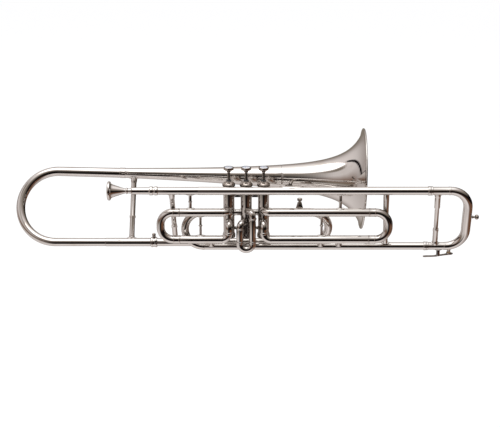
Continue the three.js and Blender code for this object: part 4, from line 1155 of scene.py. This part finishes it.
def lyre_box():
    """A tapering block with a square socket through it, saddled on the branch bend's port."""
    edit = bmesh.new()
    low = LYRE_BASE_Z - 1.5
    wide = 6.4
    narrow = 3.3

    def corner(x, y, z):
        return edit.verts.new((LYRE_X + x, y, z))

    def half_at(z):
        return wide + (narrow - wide) * (z - low) / (LYRE_TOP_Z - low)

    half = LYRE_SOCKET / 2
    low_z = LYRE_SOCKET_Z - half
    high_z = LYRE_SOCKET_Z + half
    front = {}
    for side in (-1, 1):
        outer = [corner(side * half_at(z), sy * half_at(z), z)
                 for sy, z in ((-1, low), (1, low), (1, LYRE_TOP_Z), (-1, LYRE_TOP_Z))]
        inner = [corner(side * half_at(z), sy * half, z)
                 for sy, z in ((-1, low_z), (1, low_z), (1, high_z), (-1, high_z))]
        front[side] = (outer, inner)
        for i in range(4):
            j = (i + 1) % 4
            edit.faces.new((outer[i], outer[j], inner[j], inner[i]))
    for i in range(4):
        j = (i + 1) % 4
        edit.faces.new((front[-1][0][i], front[-1][0][j], front[1][0][j], front[1][0][i]))
        edit.faces.new((front[-1][1][i], front[-1][1][j], front[1][1][j], front[1][1][i]))
    bmesh.ops.bevel(edit, geom=list(edit.edges), offset=0.5, segments=3, profile=0.5, affect="EDGES")
    shape = ([v.co.copy() for v in edit.verts], [[v.index for v in f.verts] for f in index_all(edit).faces])
    edit.free()
    mesh_piece("lyre_block", shape, "horn", ["lyre_box"], SHADED_NICKEL)


def index_all(edit):
    edit.verts.index_update()
    edit.faces.index_update()
    return edit


def lyre_screw():
    mesh_piece("lyre_thumbscrew", turned([
        (0.05, 0), (0.05, 1.7), (1.0, 2.1), (2.2, 2.1), (2.7, 3.2), (3.3, 4.4, 0.5), (6.2, 4.6, 0.5),
        (6.9, 3.9), (7.4, 2.4), (7.4, 0),
    ], (LYRE_X, 0, LYRE_TOP_Z), Z, 120, 0.3, 24), "lyre_screw_body", ["lyre_screw"], SHADED_NICKEL)


lock()
lyre_box()
lyre_screw()


# ---------------------------------------------------------------- floor, light and camera
FLOOR_Z = -0.42


def studio_floor():
    size = 24.0
    mesh = bpy.data.meshes.new("studio_floor")
    corners = [(-size, -size, FLOOR_Z), (size, -size, FLOOR_Z), (size, size, FLOOR_Z), (-size, size, FLOOR_Z)]
    mesh.from_pydata(corners, [], [(0, 1, 2, 3)])
    material, nodes, links, shader = start_material("pale_paper")
    shader.inputs["Base Color"].default_value = (0.86, 0.86, 0.865, 1)
    shader.inputs["Roughness"].default_value = 0.9
    shader.inputs["Specular IOR Level"].default_value = 0.0
    shader.inputs["Emission Color"].default_value = (1, 1, 1, 1)
    shader.inputs["Emission Strength"].default_value = 0.2
    mesh.materials.append(material)
    floor = bpy.data.objects.new("studio_floor", mesh)
    bpy.context.scene.collection.objects.link(floor)
    floor.visible_glossy = False


# The studio's tones: a white ceiling, lit paper below, and a room left unlit.
CEILING = (0.80, 0.79, 0.78)
PALE = (0.60, 0.57, 0.55)
PAPER = (0.50, 0.46, 0.45)
GREY = (0.40, 0.37, 0.36)
SHADE = (0.25, 0.22, 0.21)
DUSK = (0.14, 0.12, 0.10)
WOOD = (0.10, 0.05, 0.03)
UNLIT = (0.004, 0.003, 0.003)


def elevation(degrees):
    """Place on a ramp of an elevation above the horizon."""
    return 0.5 + 0.5 * math.sin(math.radians(degrees))


def surround(nodes, stops):
    """One side of the studio, as tones at elevations in degrees from the floor up."""
    return ramp(nodes, [(elevation(degrees), colour) for degrees, colour in stops])


def screen_edge(nodes, links, direction, split):
    """One where the dark upright edge of a screen stands, on the left and a little behind."""
    bearing = math.radians(-113)
    across_edge = nodes.new("ShaderNodeVectorMath")
    across_edge.operation = "DOT_PRODUCT"
    across_edge.inputs[1].default_value = (math.cos(bearing), math.sin(bearing), 0)
    links.new(direction.outputs["Generated"], across_edge.inputs[0])
    distance = nodes.new("ShaderNodeMath")
    distance.operation = "ABSOLUTE"
    links.new(across_edge.outputs["Value"], distance.inputs[0])
    factors = (
        map_range(nodes, links, distance.outputs["Value"], 0.09, 0.03),
        map_range(nodes, links, split.outputs["X"], -0.25, -0.45),
        map_range(nodes, links, split.outputs["Z"], -0.15, 0.0),
        map_range(nodes, links, split.outputs["Z"], 0.76, 0.66),
    )
    product = factors[0]
    for factor in factors[1:]:
        both = nodes.new("ShaderNodeMath")
        both.operation = "MULTIPLY"
        links.new(product, both.inputs[0])
        links.new(factor, both.inputs[1])
        product = both.outputs["Value"]
    return product


def studio_world():
    """A bright room for the floor, and for polished metal a surround with white above, paper below and
    a dark strip of unlit room between, browner to the right and greyer to the left."""
    world = bpy.data.worlds.new("studio")
    world.use_nodes = True
    bpy.context.scene.world = world
    nodes, links = new_nodes(world.node_tree)
    direction = nodes.new("ShaderNodeTexCoord")
    split = nodes.new("ShaderNodeSeparateXYZ")
    links.new(direction.outputs["Generated"], split.inputs["Vector"])
    height = map_range(nodes, links, split.outputs["Z"], -1, 1, smooth=False)
    front = surround(nodes, [
        (-90, GREY), (-60, PAPER), (-40, PAPER), (-30, UNLIT), (15, UNLIT), (40, DUSK), (50, GREY),
        (60, PALE), (75, CEILING)])
    behind = surround(nodes, [
        (-90, GREY), (-50, SHADE), (-20, DUSK), (10, DUSK), (30, SHADE), (45, GREY), (60, PALE),
        (80, CEILING)])
    left = surround(nodes, [
        (-90, GREY), (-25, GREY), (-10, DUSK), (0, WOOD), (25, GREY), (40, GREY), (45, DUSK), (50, DUSK),
        (55, GREY), (80, CEILING)])
    left_behind = surround(nodes, [
        (-90, PAPER), (-40, GREY), (0, SHADE), (20, GREY), (55, PAPER), (75, PALE), (90, CEILING)])
    right = surround(nodes, [
        (-90, GREY), (-50, SHADE), (-35, WOOD), (-20, WOOD), (-10, UNLIT), (10, UNLIT), (30, DUSK),
        (45, SHADE), (60, PAPER), (85, CEILING)])
    for table in (front, behind, left, left_behind, right):
        links.new(height, table.inputs["Fac"])
    facing = map_range(nodes, links, split.outputs["Y"], -0.25, 0.25)
    shade = mix_colour(nodes, links, facing, front.outputs["Color"], behind.outputs["Color"])
    side = mix_colour(nodes, links, facing, left.outputs["Color"], left_behind.outputs["Color"])
    leftward = map_range(nodes, links, split.outputs["X"], -0.12, -0.6)
    shade = mix_colour(nodes, links, leftward, shade, side)
    rightward = map_range(nodes, links, split.outputs["X"], 0.1, 0.6)
    shade = mix_colour(nodes, links, rightward, shade, right.outputs["Color"])
    edge = screen_edge(nodes, links, direction, split)
    shade = mix_colour(nodes, links, edge, shade, UNLIT)
    mirrored = nodes.new("ShaderNodeBackground")
    links.new(shade, mirrored.inputs["Color"])
    mirrored.inputs["Strength"].default_value = 1.6
    even = nodes.new("ShaderNodeBackground")
    even.inputs["Color"].default_value = (1, 1, 1, 1)
    even.inputs["Strength"].default_value = 0.92
    path = nodes.new("ShaderNodeLightPath")
    pick = nodes.new("ShaderNodeMixShader")
    links.new(path.outputs["Is Glossy Ray"], pick.inputs["Fac"])
    links.new(even.outputs["Background"], pick.inputs[1])
    links.new(mirrored.outputs["Background"], pick.inputs[2])
    output = nodes.new("ShaderNodeOutputWorld")
    links.new(pick.outputs["Shader"], output.inputs["Surface"])


def soft_light(name, place, size, power, aim=(0, 0, 0)):
    light = bpy.data.lights.new(name, "AREA")
    light.shape = "RECTANGLE"
    light.size, light.size_y = size
    light.energy = power
    lamp = bpy.data.objects.new(name, light)
    lamp.location = place
    lamp.rotation_euler = (Vector(aim) - Vector(place)).to_track_quat("-Z", "Y").to_euler()
    bpy.context.scene.collection.objects.link(lamp)


def camera():
    lens = bpy.data.cameras.new("camera")
    lens.sensor_width = 36
    lens.lens = 81
    lens.clip_end = 100
    seat = bpy.data.objects.new("camera", lens)
    seat.location = (0.0068, -1.9032, 0.6464)
    seat.rotation_euler = (math.radians(71), 0, 0)
    bpy.context.scene.collection.objects.link(seat)
    bpy.context.scene.camera = seat


studio_floor()
studio_world()
soft_light("overhead", (-0.5, -0.3, 2.2), (2.4, 1.4), 10)
camera()
bpy.context.scene.view_settings.view_transform = "Standard"
